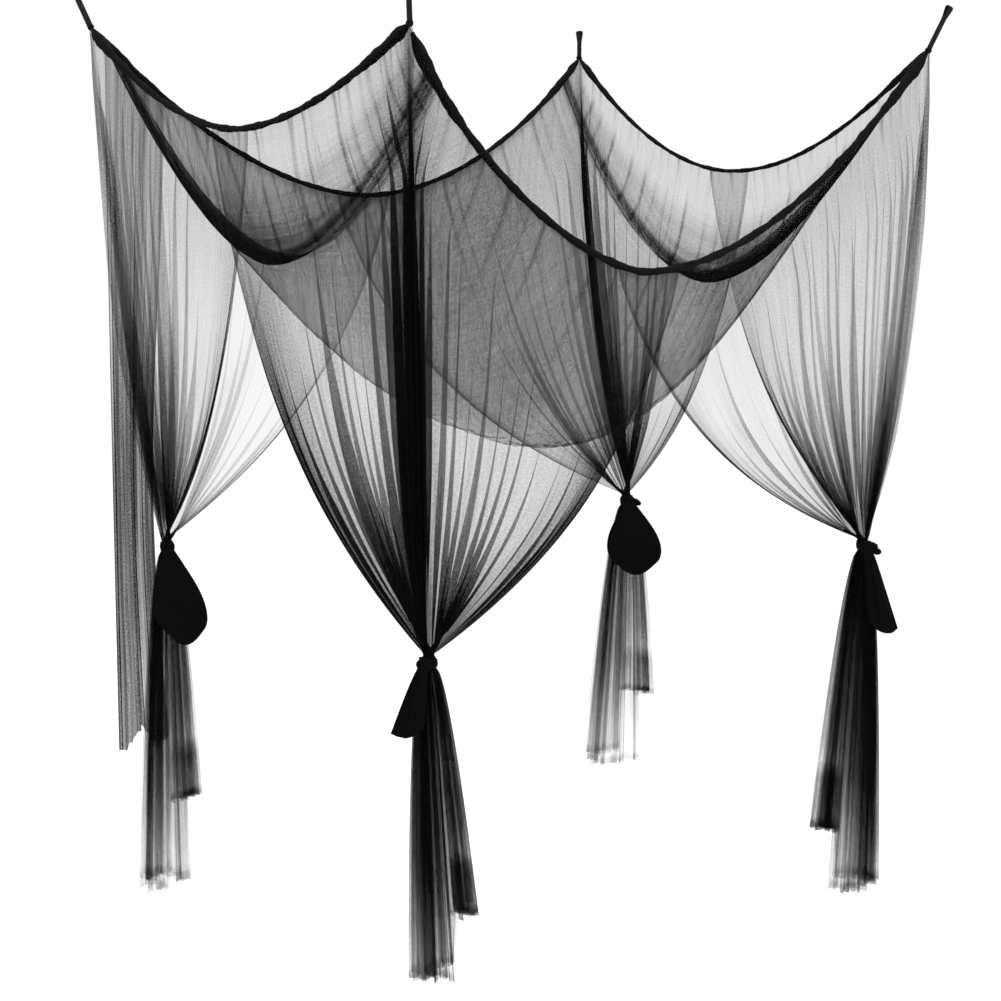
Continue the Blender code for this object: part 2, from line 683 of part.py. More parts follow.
def make_loop(corner):
    """Webbing folded into an eye for a hook, with its ends sewn into the corner's tab."""
    length = LOOPS[corner]["length"]
    up = loop_direction(corner)
    hole = np.array(LOOPS[corner]["hole"])
    through = unit(hole - up * np.dot(hole, up))
    frame = (np.cross(up, through), up, through)
    origin = corner_point(corner)
    outline = eye_outline(LOOP_EYE_R + LOOP_THICK, LOOP_THICK * 1.2, LOOP_FOOT, length)
    made = prism(f"loop_{corner}", outline, LOOP_WIDE, frame, origin, WEBBING)
    tab = ellipsoid(f"tab_{corner}", origin, (frame[0], frame[2], frame[1]), (TAB_R,) * 3, WEBBING)
    fuse(made, tab)
    slot = prism(f"slot_{corner}", slot_outline(length), LOOP_WIDE * 2, frame, origin, WEBBING)
    fuse(made, slot, "DIFFERENCE")
    return made


# ---------------------------------------------------------------- ties
def band(name, corner, inner):
    """The part of a tie that goes round the gathered net."""
    outer = inner + TIE_THICK
    profile = [(inner, -BAND_SLOPE), (inner, BAND_SLOPE), (outer, 1.0), (outer, -1.0)]
    count = len(profile)
    points, faces = [], []
    for turn in range(BAND_SIDES):
        angle = 2 * math.pi * turn / BAND_SIDES
        for radius, level in profile:
            offset = np.array([radius * math.cos(angle), radius * math.sin(angle), level * TIE_HALF])
            points.append(knot_point(corner) + offset)
        for step in range(count):
            a, b = turn * count, (turn + 1) % BAND_SIDES * count
            faces.append((a + step, a + (step + 1) % count, b + (step + 1) % count, b + step))
    made = add_object(name, points, faces, TIE_CLOTH)
    if signed_volume(made.data) < 0:
        made.data.flip_normals()
    return made


def stand_off(shape, down):
    """How far a tie's cloth stands off its neck at a share of its height."""
    return shape["stand"] * down**TIE_STAND_POWER


def bow_grid(shape, base, frame):
    """The tie's cloth from the knot down, round the foot of a bow loop, and back up behind."""
    across, outwards, up = frame
    grid = []
    for step in range(BOW_ROWS + 1):
        share = step / BOW_ROWS
        turn = math.cos(math.pi * share)
        down = 1 - abs(2 * share - 1) ** 1.3
        front = math.copysign(abs(turn) ** 0.45, turn)
        wide = shape["wide"] / 2 * teardrop(down)
        row = []
        for column in range(TIE_COLUMNS + 1):
            side = 2 * column / TIE_COLUMNS - 1
            drop = shape["tall"] * down * (1 - BOW_CURVE * side * side * down**3)
            puff = BOW_PUFF * min(1, down * 2.2) * (1.15 - 0.4 * side**2)
            puff += BOW_CREASE * math.sin(5 * side + 1) * down
            depth = CLOTH_IN_KNOT + stand_off(shape, down) + front * (TIE_THICK * 0.75 + puff)
            row.append(base + across * (wide * side + shape["shift"] * down) + outwards * depth - up * drop)
        grid.append(row)
    return grid


def teardrop(down):
    """Half the width of a bow loop at a share of its height, as a share of its widest."""
    if down < BOW_WIDEST:
        return BOW_FOOT + (1 - BOW_FOOT) * math.sin(math.pi / 2 * down / BOW_WIDEST) ** 1.15
    return math.sqrt(1 - ((down - BOW_WIDEST) / BOW_ROUND) ** 2)


def tail_grid(shape, base, frame):
    """A free end of the tie, spread below the knot in soft folds and cut slightly aslant."""
    across, outwards, up = frame
    grid = []
    for step in range(TIE_END_ROWS + 1):
        down = step / TIE_END_ROWS
        wide = shape["wide"] / 2 * (TIE_FOOT + (1 - TIE_FOOT) * down**0.8)
        row = []
        for column in range(TIE_COLUMNS + 1):
            side = 2 * column / TIE_COLUMNS - 1
            cut = TIE_CURVE * side * side + TIE_SLANT * side * shape["slant"]
            drop = shape["tall"] * down * (1 - cut * down)
            fold = TIE_FOLD * math.sin(TIE_FOLD_RATE * side + 0.6) * min(1, down * 2)
            depth = CLOTH_IN_KNOT + stand_off(shape, down) + fold
            row.append(base + across * (wide * side + shape["shift"] * down) + outwards * depth - up * drop)
        grid.append(row)
    return grid


def make_tie(corner):
    """A cloth band knotted round the net's neck. Its loop or free end is the one that shows."""
    shape = dict(zip(TIE_COLUMN_NAMES, TIE_TABLE[corner]))
    inner = CORNERS[corner]["neck_r"] + NECK_PLEAT + NECK_THICK + GAP
    outwards = np.array([math.cos(shape["toward"]), math.sin(shape["toward"]), 0.0])
    up = np.array([0.0, 0.0, 1.0])
    frame = (np.cross(up, outwards), outwards, up)
    knot = knot_point(corner) + outwards * (inner + TIE_THICK + KNOT_RADII[1] * KNOT_OVERLAP)
    make_grid = bow_grid if shape["bow"] else tail_grid
    base = knot - outwards * CLOTH_IN_KNOT + up * CLOTH_RISE
    made = cloth_solid(f"tie_{corner}", make_grid(shape, base, frame), TIE_THICK, TIE_CLOTH)
    fuse(made, ellipsoid(f"knot_{corner}", knot, frame, KNOT_RADII, TIE_CLOTH))
    fuse(made, band(f"band_{corner}", corner, inner))
    for side, level in shape["nubs"]:
        place = knot + frame[0] * side + up * level
        tilted = (unit(frame[0] - up * 0.5), outwards, unit(up + frame[0] * 0.5))
        fuse(made, ellipsoid(f"nub_{corner}_{round(side * 1000)}", place, tilted, NUB_RADII, TIE_CLOTH))
    return made


# ---------------------------------------------------------------- build
for ends in SIDES:
    make_binding(ends)
make_roof()
for name in RING:
    make_curtain(name)
make_loose_width()
for name in RING:
    make_loop(name)
    make_tie(name)
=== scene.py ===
"""Looks for a mosquito net bed canopy: sheer black net on bound edges, hung from four corner loops."""

import math

import bpy
import numpy as np
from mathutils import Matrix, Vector


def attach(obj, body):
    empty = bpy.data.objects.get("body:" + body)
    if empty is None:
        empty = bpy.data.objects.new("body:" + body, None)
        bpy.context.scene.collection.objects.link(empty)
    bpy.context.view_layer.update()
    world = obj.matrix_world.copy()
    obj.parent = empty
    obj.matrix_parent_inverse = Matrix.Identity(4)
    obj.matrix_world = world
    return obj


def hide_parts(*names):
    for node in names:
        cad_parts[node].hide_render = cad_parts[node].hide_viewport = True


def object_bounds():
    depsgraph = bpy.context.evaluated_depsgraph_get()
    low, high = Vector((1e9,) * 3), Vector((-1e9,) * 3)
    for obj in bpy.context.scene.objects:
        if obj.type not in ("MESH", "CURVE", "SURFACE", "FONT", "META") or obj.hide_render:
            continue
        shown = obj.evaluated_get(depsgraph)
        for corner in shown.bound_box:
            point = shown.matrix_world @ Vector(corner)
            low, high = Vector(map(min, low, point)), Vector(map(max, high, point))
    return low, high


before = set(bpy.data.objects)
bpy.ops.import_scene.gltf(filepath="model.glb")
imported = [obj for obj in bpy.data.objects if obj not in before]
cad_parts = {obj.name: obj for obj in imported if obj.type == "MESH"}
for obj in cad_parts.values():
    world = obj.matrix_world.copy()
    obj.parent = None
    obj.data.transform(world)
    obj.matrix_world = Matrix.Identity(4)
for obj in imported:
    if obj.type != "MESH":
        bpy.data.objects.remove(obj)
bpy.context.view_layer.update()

# ---------------------------------------------------------------- camera, floor and light
# A long lens from beyond the near corner, a little above the middle, on a white studio sweep. An even white
# surround and three soft lamps light it.
CAMERA_PLACE = (4.694, -3.480, -0.383)
CAMERA_TURN = math.radians(51.341)
CAMERA_DOWN = math.radians(8.416)
FOCAL_PX, IMAGE_PX = 2466, 1001
FLOOR_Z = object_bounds()[0][2] - 0.06
PAPER_TOOTH = 900.0  # to the metre
CANOPY_MIDDLE = Vector((-0.75, 0.9, -1.2))  # which the lamps face


def colour(hex_code):
    """An sRGB hex colour as linear values."""
    parts = [int(hex_code[place : place + 2], 16) / 255 for place in (1, 3, 5)]
    return (*[part / 12.92 if part <= 0.04045 else ((part + 0.055) / 1.055) ** 2.4 for part in parts], 1.0)


def add_node(tree, kind, inputs=None, **settings):
    """A shader node with its settings. An input that is a socket is linked, and any other is set."""
    made = tree.nodes.new(kind)
    for name, value in settings.items():
        setattr(made, name, value)
    for name, value in (inputs or {}).items():
        if isinstance(value, bpy.types.NodeSocket):
            tree.links.new(value, made.inputs[name])
        else:
            made.inputs[name].default_value = value
    return made


def new_material(name, shader_inputs):
    """A material, its node tree and its shader, with the shader's plain values set."""
    material = bpy.data.materials.new(name)
    material.use_nodes = True
    tree = material.node_tree
    shader = tree.nodes["Principled BSDF"]
    for socket, value in shader_inputs.items():
        shader.inputs[socket].default_value = value
    return material, tree, shader


def plain_floor():
    """Matt white studio paper with a faint tooth."""
    material, tree, shader = new_material(
        "floor_paper", {"Base Color": colour("#ffffff"), "Roughness": 1.0, "Specular IOR Level": 0.0}
    )
    tooth = add_node(tree, "ShaderNodeTexNoise", {"Scale": PAPER_TOOTH, "Detail": 2.0})
    bump = add_node(tree, "ShaderNodeBump", {"Strength": 0.03, "Distance": 0.001, "Height": tooth.outputs[0]})
    tree.links.new(bump.outputs[0], shader.inputs["Normal"])
    return material


camera = bpy.data.objects.new("camera", bpy.data.cameras.new("camera"))
camera.data.lens = camera.data.sensor_width * FOCAL_PX / IMAGE_PX
camera.location = CAMERA_PLACE
camera.rotation_euler = (math.pi / 2 - CAMERA_DOWN, 0.0, CAMERA_TURN)
camera.data.clip_end = 200
bpy.context.collection.objects.link(camera)
bpy.context.scene.camera = camera

bpy.ops.mesh.primitive_plane_add(size=120, location=(0, 0, FLOOR_Z))
floor = bpy.context.object
floor.name = "floor"
floor.data.materials.append(plain_floor())

world = bpy.data.worlds.new("studio")
world.use_nodes = True
world.node_tree.nodes["Background"].inputs["Color"].default_value = (1, 1, 1, 1)
world.node_tree.nodes["Background"].inputs["Strength"].default_value = 1.0
bpy.context.scene.world = world
for name, place, size, watts in (
    ("key", (2.5, -4.5, 2.0), 3.0, 190),
    ("fill", (4.5, 2.5, 0.5), 3.5, 90),
    ("top", (-0.7, 1.0, 3.2), 3.0, 120),
):
    lamp = bpy.data.objects.new(name, bpy.data.lights.new(name, "AREA"))
    lamp.data.size = size
    lamp.data.energy = watts
    lamp.location = place
    lamp.rotation_euler = (CANOPY_MIDDLE - Vector(place)).to_track_quat("-Z", "Y").to_euler()
    bpy.context.collection.objects.link(lamp)
bpy.context.scene.view_settings.view_transform = "Standard"
bpy.context.scene.cycles.transparent_max_bounces = 96
bpy.context.scene.cycles.max_bounces = 2

# ---------------------------------------------------------------- bindings
# The four top edges: a tape with the net bunched and rolled round it, like a soft rope.
# Each is swept along the curve in which its side hangs, thick by the corners and thin in the middle.
SPAN_X, SPAN_Y = 1.50, 1.80
LOOP_LEAN_NEAR, LOOP_LENGTH_NEAR = 0.20, 0.125
LEVELS = {"left": 0.040, "near": 0.0, "right": -0.025, "far": -0.010}
PLACES = {"left": (-SPAN_X, 0.0), "near": (0.0, 0.0), "right": (0.0, SPAN_Y), "far": (-SPAN_X, SPAN_Y)}
RING = ("left", "near", "right", "far")
# Each side's sag, how far along it is lowest, how full it hangs before and after that, and the curtain
# that passes behind the other one there.
SIDES = {
    ("left", "near"): (0.264, 0.48, 1.75, 1.75, "left"),
    ("near", "right"): (0.595, 0.42, 1.50, 1.95, "right"),
    ("right", "far"): (0.350, 0.53, 2.05, 1.85, "right"),
    ("far", "left"): (0.455, 0.48, 1.85, 1.85, "far"),
}
HANG_BLUNT = 0.035  # how rounded the lowest point of a hung curve is
TAB_R = 0.0085
BULK = {"left": 1.0, "near": 1.1, "right": 0.70, "far": 0.85}  # of the binding that starts at each corner
BINDING_END_R, BINDING_THICK_R, BINDING_MID_R = 0.0050, 0.0135, 0.0085
BINDING_THICK_AT, BINDING_THICK_RUN, BINDING_END_RUN = 0.05, 0.16, 0.035  # along it, from its corner
BINDING_STEP, BINDING_ROUND = 0.006, 14  # between its rings, and points in each
CORNER_GAP = 0.0003
BUNCHED_CREASES = 260.0  # to the metre, so about 4 mm apart
UP = np.array([0.0, 0.0, 1.0])


def unit(vectors):
    return vectors / np.maximum(np.linalg.norm(vectors, axis=-1, keepdims=True), 1e-12)


def outward(corner):
    """The horizontal direction out of the canopy at a corner."""
    x, y = PLACES[corner]
    return unit(np.array([math.copysign(1, x + SPAN_X / 2), math.copysign(1, y - SPAN_Y / 2), 0.0]))


ORIGIN = unit(outward("near") * LOOP_LEAN_NEAR + UP) * -LOOP_LENGTH_NEAR  # the near corner, below its hook


def corner_point(corner):
    return ORIGIN + np.array([*PLACES[corner], LEVELS[corner]])


def smooth(value, low, high):
    """0 below low and 1 above high, with a smooth rise between."""
    share = np.clip((np.asarray(value, float) - low) / (high - low), 0, 1)
    return share * share * (3 - 2 * share)


def wander(place, seed, pitch):
    """An even, repeatable wobble from -1 to 1 along a length, with about one swing a pitch."""
    turn = 2 * math.pi * np.asarray(place, float) / pitch
    waves = ((1.0, 1.0), (1.618, 0.7), (2.414, 0.45), (0.543, 0.8))
    total = sum(size * np.sin(turn * rate + seed * (3.1 + 7 * rate)) for rate, size in waves)
    return total / sum(size for _, size in waves)


def tucks(place, seed, pitch=0.050):
    """Thin, uneven gathers at about one a pitch: 1 on a strong one, and 0 between them."""
    line = np.abs(np.sin(math.pi * place / pitch + 1.1 * wander(place, seed, 4 * pitch))) ** 22
    return line * np.clip(0.55 + 1.1 * wander(place, seed + 1, 2.3 * pitch), 0, 1.3)


def hang(share, low, power):
    """0 at both ends of a hung curve and 1 at its lowest point."""
    turned = np.clip(share, 0.0, 1.0) ** (math.log(0.5) / math.log(low))
    off = np.sqrt((2 * turned - 1) ** 2 + HANG_BLUNT**2)
    top, bottom = math.hypot(1, HANG_BLUNT) ** power, HANG_BLUNT**power
    return (top - off**power) / (top - bottom)


def side_points(side, shares):
    """Points of a side's hung edge at shares of the way along it."""
    shares = np.asarray(shares, float)[:, None]
    start, end = (corner_point(name) for name in side)
    sag, low, power, end_power, _ = SIDES[side]
    sunk = hang(shares, low, np.where(shares < low, power, end_power))
    return start + (end - start) * shares - UP * sag * sunk


def side_frame(side):
    """A side's two level directions: along it, and out of the canopy."""
    start, end = (corner_point(name) for name in side)
    along = unit((end - start) * np.array([1.0, 1.0, 0.0]))
    return along, np.array([along[1], -along[0], 0.0])


def binding_radius(side, from_end):
    """A side's rope at a distance from its nearer corner: its radius."""
    bunched = np.exp(-(((from_end - BINDING_THICK_AT) / BINDING_THICK_RUN) ** 2))
    thick = BINDING_MID_R + (BINDING_THICK_R - BINDING_MID_R) * bunched
    return BINDING_END_R + (thick * BULK[side[0]] - BINDING_END_R) * np.clip(from_end / BINDING_END_RUN, 0, 1)


def link_mesh(name, points, faces, material):
    """A smooth mesh of one material, in the scene."""
    mesh = bpy.data.meshes.new(name)
    mesh.from_pydata(np.asarray(points).reshape(-1, 3).tolist(), [], faces)
    mesh.materials.append(material)
    mesh.polygons.foreach_set("use_smooth", [True] * len(mesh.polygons))
    mesh.update()
    made = bpy.data.objects.new(name, mesh)
    bpy.context.collection.objects.link(made)
    return made


def grid_faces(rows, columns, wrap=False):
    """Quads between the points of a grid. wrap joins the last column to the first."""
    faces = []
    for row in range(rows - 1):
        for column in range(columns if wrap else columns - 1):
            after = (column + 1) % columns
            a, b = row * columns, (row + 1) * columns
            faces.append((a + column, b + column, b + after, a + after))
    return faces


def capped_faces(rings, around):
    """The faces of a tube of rings, closed at both ends."""
    caps = [tuple(range(around)), tuple((rings - 1) * around + step for step in reversed(range(around)))]
    return grid_faces(rings, around, wrap=True) + caps


def bunched_net():
    """Net rolled hard round a tape: black, dry and wrinkled along its twist."""
    material, tree, shader = new_material(
        "bunched_net", {"Base Color": colour("#0c0c0d"), "Roughness": 0.9, "Specular IOR Level": 0.06}
    )
    place = add_node(tree, "ShaderNodeTexCoord").outputs["Object"]
    creases = add_node(tree, "ShaderNodeTexNoise", {"Vector": place, "Scale": BUNCHED_CREASES, "Detail": 5.0})
    bump = add_node(
        tree, "ShaderNodeBump", {"Strength": 0.6, "Distance": 0.003, "Height": creases.outputs[0]}
    )
    tree.links.new(bump.outputs[0], shader.inputs["Normal"])
    # Painted shade: the colour follows the height of the creases, darker in their hollows and lighter on
    # their ridges.
    crease_shade = add_node(tree, "ShaderNodeValToRGB", {"Fac": creases.outputs[0]})
    crease_shade.color_ramp.elements[0].color = colour("#030303")
    crease_shade.color_ramp.elements[1].color = colour("#121213")
    tree.links.new(crease_shade.outputs[0], shader.inputs["Base Color"])
    return material


BUNCHED_NET = bunched_net()


def make_binding(side, seed):
    length = np.linalg.norm(np.diff(side_points(side, np.linspace(0, 1, 400)), axis=0), axis=1).sum()
    count = int(length / BINDING_STEP)
    shares = np.linspace((TAB_R + CORNER_GAP) / length, 1 - (TAB_R + CORNER_GAP) / length, count)
    axis = side_points(side, shares)
    along = np.concatenate([[0], np.cumsum(np.linalg.norm(np.diff(axis, axis=0), axis=1))])
    _, out = side_frame(side)
    tangent = unit(np.gradient(axis, axis=0))
    lift = unit(np.cross(out, tangent))
    turn = np.linspace(0, 2 * math.pi, BINDING_ROUND, endpoint=False)[None, :]
    place = along[:, None]
    radius = binding_radius(side, np.minimum(along, along[-1] - along))[:, None]
    # Slow lumps, then the twist's two strands with finer ridges over them, and short wrinkles.
    radius = radius * (1 + 0.10 * wander(place, seed, 0.09))
    twist = 0.13 * np.sin(2 * turn + 48 * place + seed)
    radius = radius * (1 + twist + 0.08 * np.sin(5 * turn - 110 * place))
    radius = radius * (1 + 0.05 * wander(place, seed + 4, 0.011))
    ring = np.cos(turn)[..., None] * out + np.sin(turn)[..., None] * lift[:, None, :]
    points = axis[:, None, :] + ring * radius[..., None]
    faces = capped_faces(count, BINDING_ROUND)
    made = link_mesh(f"bound_edge_{side[0]}_{side[1]}", points, faces, BUNCHED_NET)
    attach(made, "root")
    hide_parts(f"binding_{side[0]}_{side[1]}")


for number, ends in enumerate(SIDES):
    make_binding(ends, 1.7 * number)

# ---------------------------------------------------------------- roof net
# One wide panel of fine net sewn to the four bindings. It sags into a deep belly between two long sides,
# and is bunched into a soft roll beside each short one.
NET_COVER = 0.225  # how much light one flat layer stops
ROOF_COVER = 0.36
LEAST_DENSE, MOST_DENSE = 0.2, 14
ROOF_WIDE_POINTS, ROOF_LONG_POINTS = 400, 240
# Lines that run across the roof: edge and mid are how far in from the left-near side they start and cross
# the middle, then mid_z, power, and how thickly the net is bunched there.
ROOF_TABLE = (
    (0.000, 0.000, -0.264, 1.8, 0.6),
    (0.018, 0.030, -0.400, 1.8, 0.5),
    (0.038, 0.066, -0.530, 1.8, 3.2),
    (0.058, 0.100, -0.600, 1.8, 8.0),
    (0.078, 0.130, -0.580, 1.8, 6.0),
    (0.098, 0.165, -0.575, 2.0, 2.0),
    (0.130, 0.215, -0.640, 2.6, 1.0),
)
ROOF_TABLE_END = (  # the same, measured back from the right-far side
    (0.130, 0.215, -0.710, 1.9, 1.0),
    (0.098, 0.165, -0.670, 1.8, 1.2),
    (0.078, 0.130, -0.680, 1.8, 5.0),
    (0.058, 0.100, -0.700, 1.8, 8.0),
    (0.038, 0.066, -0.640, 1.8, 2.4),
    (0.018, 0.030, -0.500, 1.8, 0.2),
    (0.000, 0.000, -0.360, 1.8, 0.2),
)
BELLY_LINES, BELLY_DEPTH, BELLY_LOW, BELLY_POWER, BELLY_FULL = 11, 0.450, 0.52, 2.0, 0.6
BELLY_THIN = 0.15  # how much less bunched the net is where the belly is deepest
ROOF_LOW = 0.52
ROOF_CROWDING, ROOF_SWELL_POWER = 0.06, 0.8  # its points crowd at the long sides, and its lines bow in
ROLL_POINTS = 0.14  # the share of the points across that each roll has
ROLL_DENSE = 8.0  # how thickly the net is bunched at the middle of a roll
GATHER_PITCH = 0.047
LONG_TUCKS_DOWN, SHORT_TUCKS_IN = 0.08, 0.034  # how soon the gathers under a binding fade
# The real mesh, of one or two millimetres, is too fine to show, so its grain is drawn at about 5 mm. The
# creases that run down the cloth are about 7 mm wide and 0.3 m long.
NET_GRAIN = 210.0
NET_CREASES = (150.0, 3.5, 1.0)


def black_net(name, grain=0.5, streak=0.35):
    """Fine black polyester net. cover says how much light the cloth stops at each point, and cloth is where
    that point lies on the flat sheet, in metres. grain is the mesh's moire, streak its lengthwise creases."""
    material, tree, shader = new_material(
        name, {"Base Color": colour("#070708"), "Roughness": 0.9, "Specular IOR Level": 0.02}
    )
    cover = add_node(tree, "ShaderNodeAttribute", attribute_name="cover").outputs["Fac"]
    cloth = add_node(tree, "ShaderNodeAttribute", attribute_name="cloth").outputs["Vector"]
    mesh = add_node(
        tree, "ShaderNodeTexNoise", {"Vector": cloth, "Scale": NET_GRAIN, "Detail": 1.5, "Roughness": 0.7}
    )
    narrow = add_node(tree, "ShaderNodeMapping", {"Vector": cloth, "Scale": NET_CREASES})
    creases = add_node(tree, "ShaderNodeTexNoise", {"Vector": narrow.outputs[0], "Scale": 1.0, "Detail": 3.0})
    grains = add_node(
        tree, "ShaderNodeMapRange", {"Value": mesh.outputs[0], "From Min": 0.25, "From Max": 0.75,
                                     "To Min": 1 - grain, "To Max": 1 + grain},
    )
    streaks = add_node(
        tree, "ShaderNodeMapRange", {"Value": creases.outputs[0], "From Min": 0.3, "From Max": 0.75,
                                     "To Min": 1 - streak * 0.6, "To Max": 1 + streak},
    )
    both = add_node(
        tree, "ShaderNodeMath", {0: grains.outputs[0], 1: streaks.outputs[0]}, operation="MULTIPLY"
    )
    # Light let through falls by a power of the density, so two folded layers stop what two flat ones would.
    clear = add_node(tree, "ShaderNodeMath", {0: 1.0, 1: cover}, operation="SUBTRACT", use_clamp=True)
    through = add_node(tree, "ShaderNodeMath", {0: clear.outputs[0], 1: both.outputs[0]}, operation="POWER")
    alpha = add_node(
        tree, "ShaderNodeMath", {0: 1.0, 1: through.outputs[0]}, operation="SUBTRACT", use_clamp=True
    )
    tree.links.new(alpha.outputs[0], shader.inputs["Alpha"])
    bump = add_node(tree, "ShaderNodeBump", {"Strength": 0.3, "Distance": 0.001, "Height": mesh.outputs[0]})
    tree.links.new(bump.outputs[0], shader.inputs["Normal"])
    return material


NET = black_net("black_net")


def store_cloth(made, cloth):
    """Keeps where each point lies on the flat cloth, which its weave is laid out by."""
    stored = made.data.attributes.new("cloth", "FLOAT_VECTOR", "POINT")
    stored.data.foreach_set("vector", np.asarray(cloth, np.float32).ravel())


def make_sheet(name, grid, density, cloth, material, base_cover):
    """A single layer of net from a grid of points, with its cover and flat place stored at each point."""
    rows, columns = grid.shape[:2]
    made = link_mesh(name, grid, grid_faces(rows, columns), material)
    made.visible_shadow = False
    cover = 1 - (1 - base_cover) ** np.clip(density, LEAST_DENSE, MOST_DENSE)
    stored = made.data.attributes.new("cover", "FLOAT", "POINT")
    stored.data.foreach_set("value", cover.astype(np.float32).ravel())
    store_cloth(made, np.pad(cloth, ((0, 0), (0, 0), (0, 1))))
    return made


def roof_lines():
    """Rows of edge, mid, mid_z, power and bunching from the left-near side to the right-far one."""
    start = np.array(ROOF_TABLE)
    end = np.array(ROOF_TABLE_END)
    end[:, :2] = SPAN_Y - end[:, :2]
    belly = []
    for step in range(1, BELLY_LINES + 1):
        share = step / (BELLY_LINES + 1)
        line = start[-1] + (end[0] - start[-1]) * share
        swell = float(hang(share, BELLY_LOW, BELLY_POWER))
        belly.append(line + np.array([0, 0, -BELLY_DEPTH * swell, BELLY_FULL * swell, -BELLY_THIN * swell]))
    return np.concatenate([start, belly, end])


def spread(values, places, wanted):
    """Smoothly resamples rows of values at wanted places between their own (a cubic through all of them)."""
    slope = np.gradient(values, places, axis=0)
    index = np.clip(np.searchsorted(places, wanted, side="right") - 1, 0, len(places) - 2)
    width = (places[index + 1] - places[index])[:, None]
    t = (wanted[:, None] - places[index][:, None]) / width
    return ((2 * t**3 - 3 * t**2 + 1) * values[index] + (t**3 - 2 * t**2 + t) * width * slope[index]
            + (3 * t**2 - 2 * t**3) * values[index + 1] + (t**3 - t**2) * width * slope[index + 1])


def roof_density(share, edge, bunch, wanted, place, cross):
    """How densely the roof's net lies, at shares of the way from its near-right side to its far-left one."""
    # Each roll starts narrow, and grows wider and denser on its way across.
    strands = np.clip(1 + 0.9 * wander(wanted + 0.5 * share, 4.0, 0.75), 0.35, 1.9)
    toward_end = np.where(edge < SPAN_Y / 2, smooth(share, 0.05, 0.55), smooth(1 - share, 0.10, 0.60))
    rolled = np.clip((bunch - 1) / (ROLL_DENSE - 1), 0, 1) ** (2.6 - 1.6 * toward_end)
    heaped = 1 + (ROLL_DENSE - 1) * rolled * (0.60 + 0.40 * toward_end) * strands
    bunch = np.where(bunch > 1, heaped, bunch)
    # Tucks under the long bindings and then under the short ones, and uneven patches.
    from_long = np.minimum(share, 1 - share)
    density = bunch * (1 + 1.7 * tucks(place, 3.0) * np.exp(-from_long / LONG_TUCKS_DOWN))
    from_short = np.minimum(edge, SPAN_Y - edge)
    under_short = np.exp(-from_short / SHORT_TUCKS_IN)
    density = density * (1 + 4.5 * tucks(SPAN_X * share + 0.1 * edge, 8.0) * under_short)
    density = density * (1 + 0.16 * wander(place + 0.2 * share, 6.0, 0.4) + 0.06 * cross)
    # It is stretched thin along the bottom of the belly, and doubled in the seams at its long sides.
    in_belly = smooth(from_short, 0.12, 0.35)
    density = density * (1 + in_belly * (0.30 - 0.75 * np.exp(-(((share - ROOF_LOW) / 0.17) ** 2))))
    return density + 1.5 * np.exp(-(from_long * SPAN_X / 0.010) ** 2)


def make_roof():
    table = roof_lines()
    last = len(table) - 1
    rolls = (0, len(ROOF_TABLE) - 1, last - len(ROOF_TABLE_END) + 1, last)
    wanted = np.interp(np.linspace(0, 1, ROOF_WIDE_POINTS), (0, ROLL_POINTS, 1 - ROLL_POINTS, 1), rolls)
    lines = spread(table, np.arange(len(table), dtype=float), wanted)
    edge, mid, mid_z, power, bunch = (lines[:, place][None, :] for place in range(5))
    share = np.linspace(0, 1, ROOF_LONG_POINTS)[:, None]
    share = share - ROOF_CROWDING * np.sin(2 * math.pi * share)
    first = side_points(("near", "right"), edge[0] / SPAN_Y)[:, 2][None, :] - ORIGIN[2]
    second = side_points(("far", "left"), 1 - edge[0] / SPAN_Y)[:, 2][None, :] - ORIGIN[2]
    dip = (first + second) / 2 - mid_z
    y = edge + (mid - edge) * np.sin(math.pi * share) ** ROOF_SWELL_POWER
    z = first + (second - first) * share - dip * hang(share, ROOF_LOW, power)
    low_near = side_points(("left", "near"), 1 - share[:, 0])[:, 2][:, None] - ORIGIN[2]
    low_far = side_points(("right", "far"), share[:, 0])[:, 2][:, None] - ORIGIN[2]
    beside_near = 1 - smooth(mid, 0.0, 0.030)
    beside_far = 1 - smooth(SPAN_Y - mid, 0.0, 0.030)
    z = z * (1 - beside_near - beside_far) + low_near * beside_near + low_far * beside_far
    grid = np.stack([np.broadcast_to(-SPAN_X * share, z.shape), y + 0 * share, z], axis=-1)
    run = np.cumsum(np.linalg.norm(np.diff(grid, axis=1, prepend=grid[:, :1]), axis=2), axis=1)
    fall = np.cumsum(np.linalg.norm(np.diff(grid, axis=0, prepend=grid[:1]), axis=2), axis=0)
    inside = np.minimum(np.minimum(edge, SPAN_Y - edge) / 0.05, np.minimum(share, 1 - share) / 0.04)
    inside = np.clip(inside, 0, 1)
    # Gathers run down from the long bindings, and slacken towards the belly.
    place = edge + 0.012 * wander(share, 2.0, 0.7)
    fine = np.sin(2 * math.pi * place / GATHER_PITCH + 1.3 * wander(place, 5.0, 0.3))
    near_edge = np.exp(-np.minimum(share, 1 - share) / 0.16)
    grid[..., 2] += inside * (0.006 * near_edge + 0.002) * fine
    cross = wander(share * 2.1 + 0.13 * np.sin(5 * edge), 9.0, 0.16)
    grid[..., 2] += inside * 0.006 * cross * np.exp(-((edge - 0.9) / 0.6) ** 2)
    density = roof_density(share, edge, bunch, wanted, place, cross)
    grid += ORIGIN
    made = make_sheet("roof_sheet", grid, density, np.stack([run, fall], -1), NET, ROOF_COVER)
    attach(made, "root")
    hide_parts("roof_net")


make_roof()

# ---------------------------------------------------------------- corner curtains
# Four wide drops of the same net, each sewn along half of two sides and gathered into a neck low down.
# They fall in soft pleats that bundle at the corner and at the hemmed free edges, and flare below the tie.

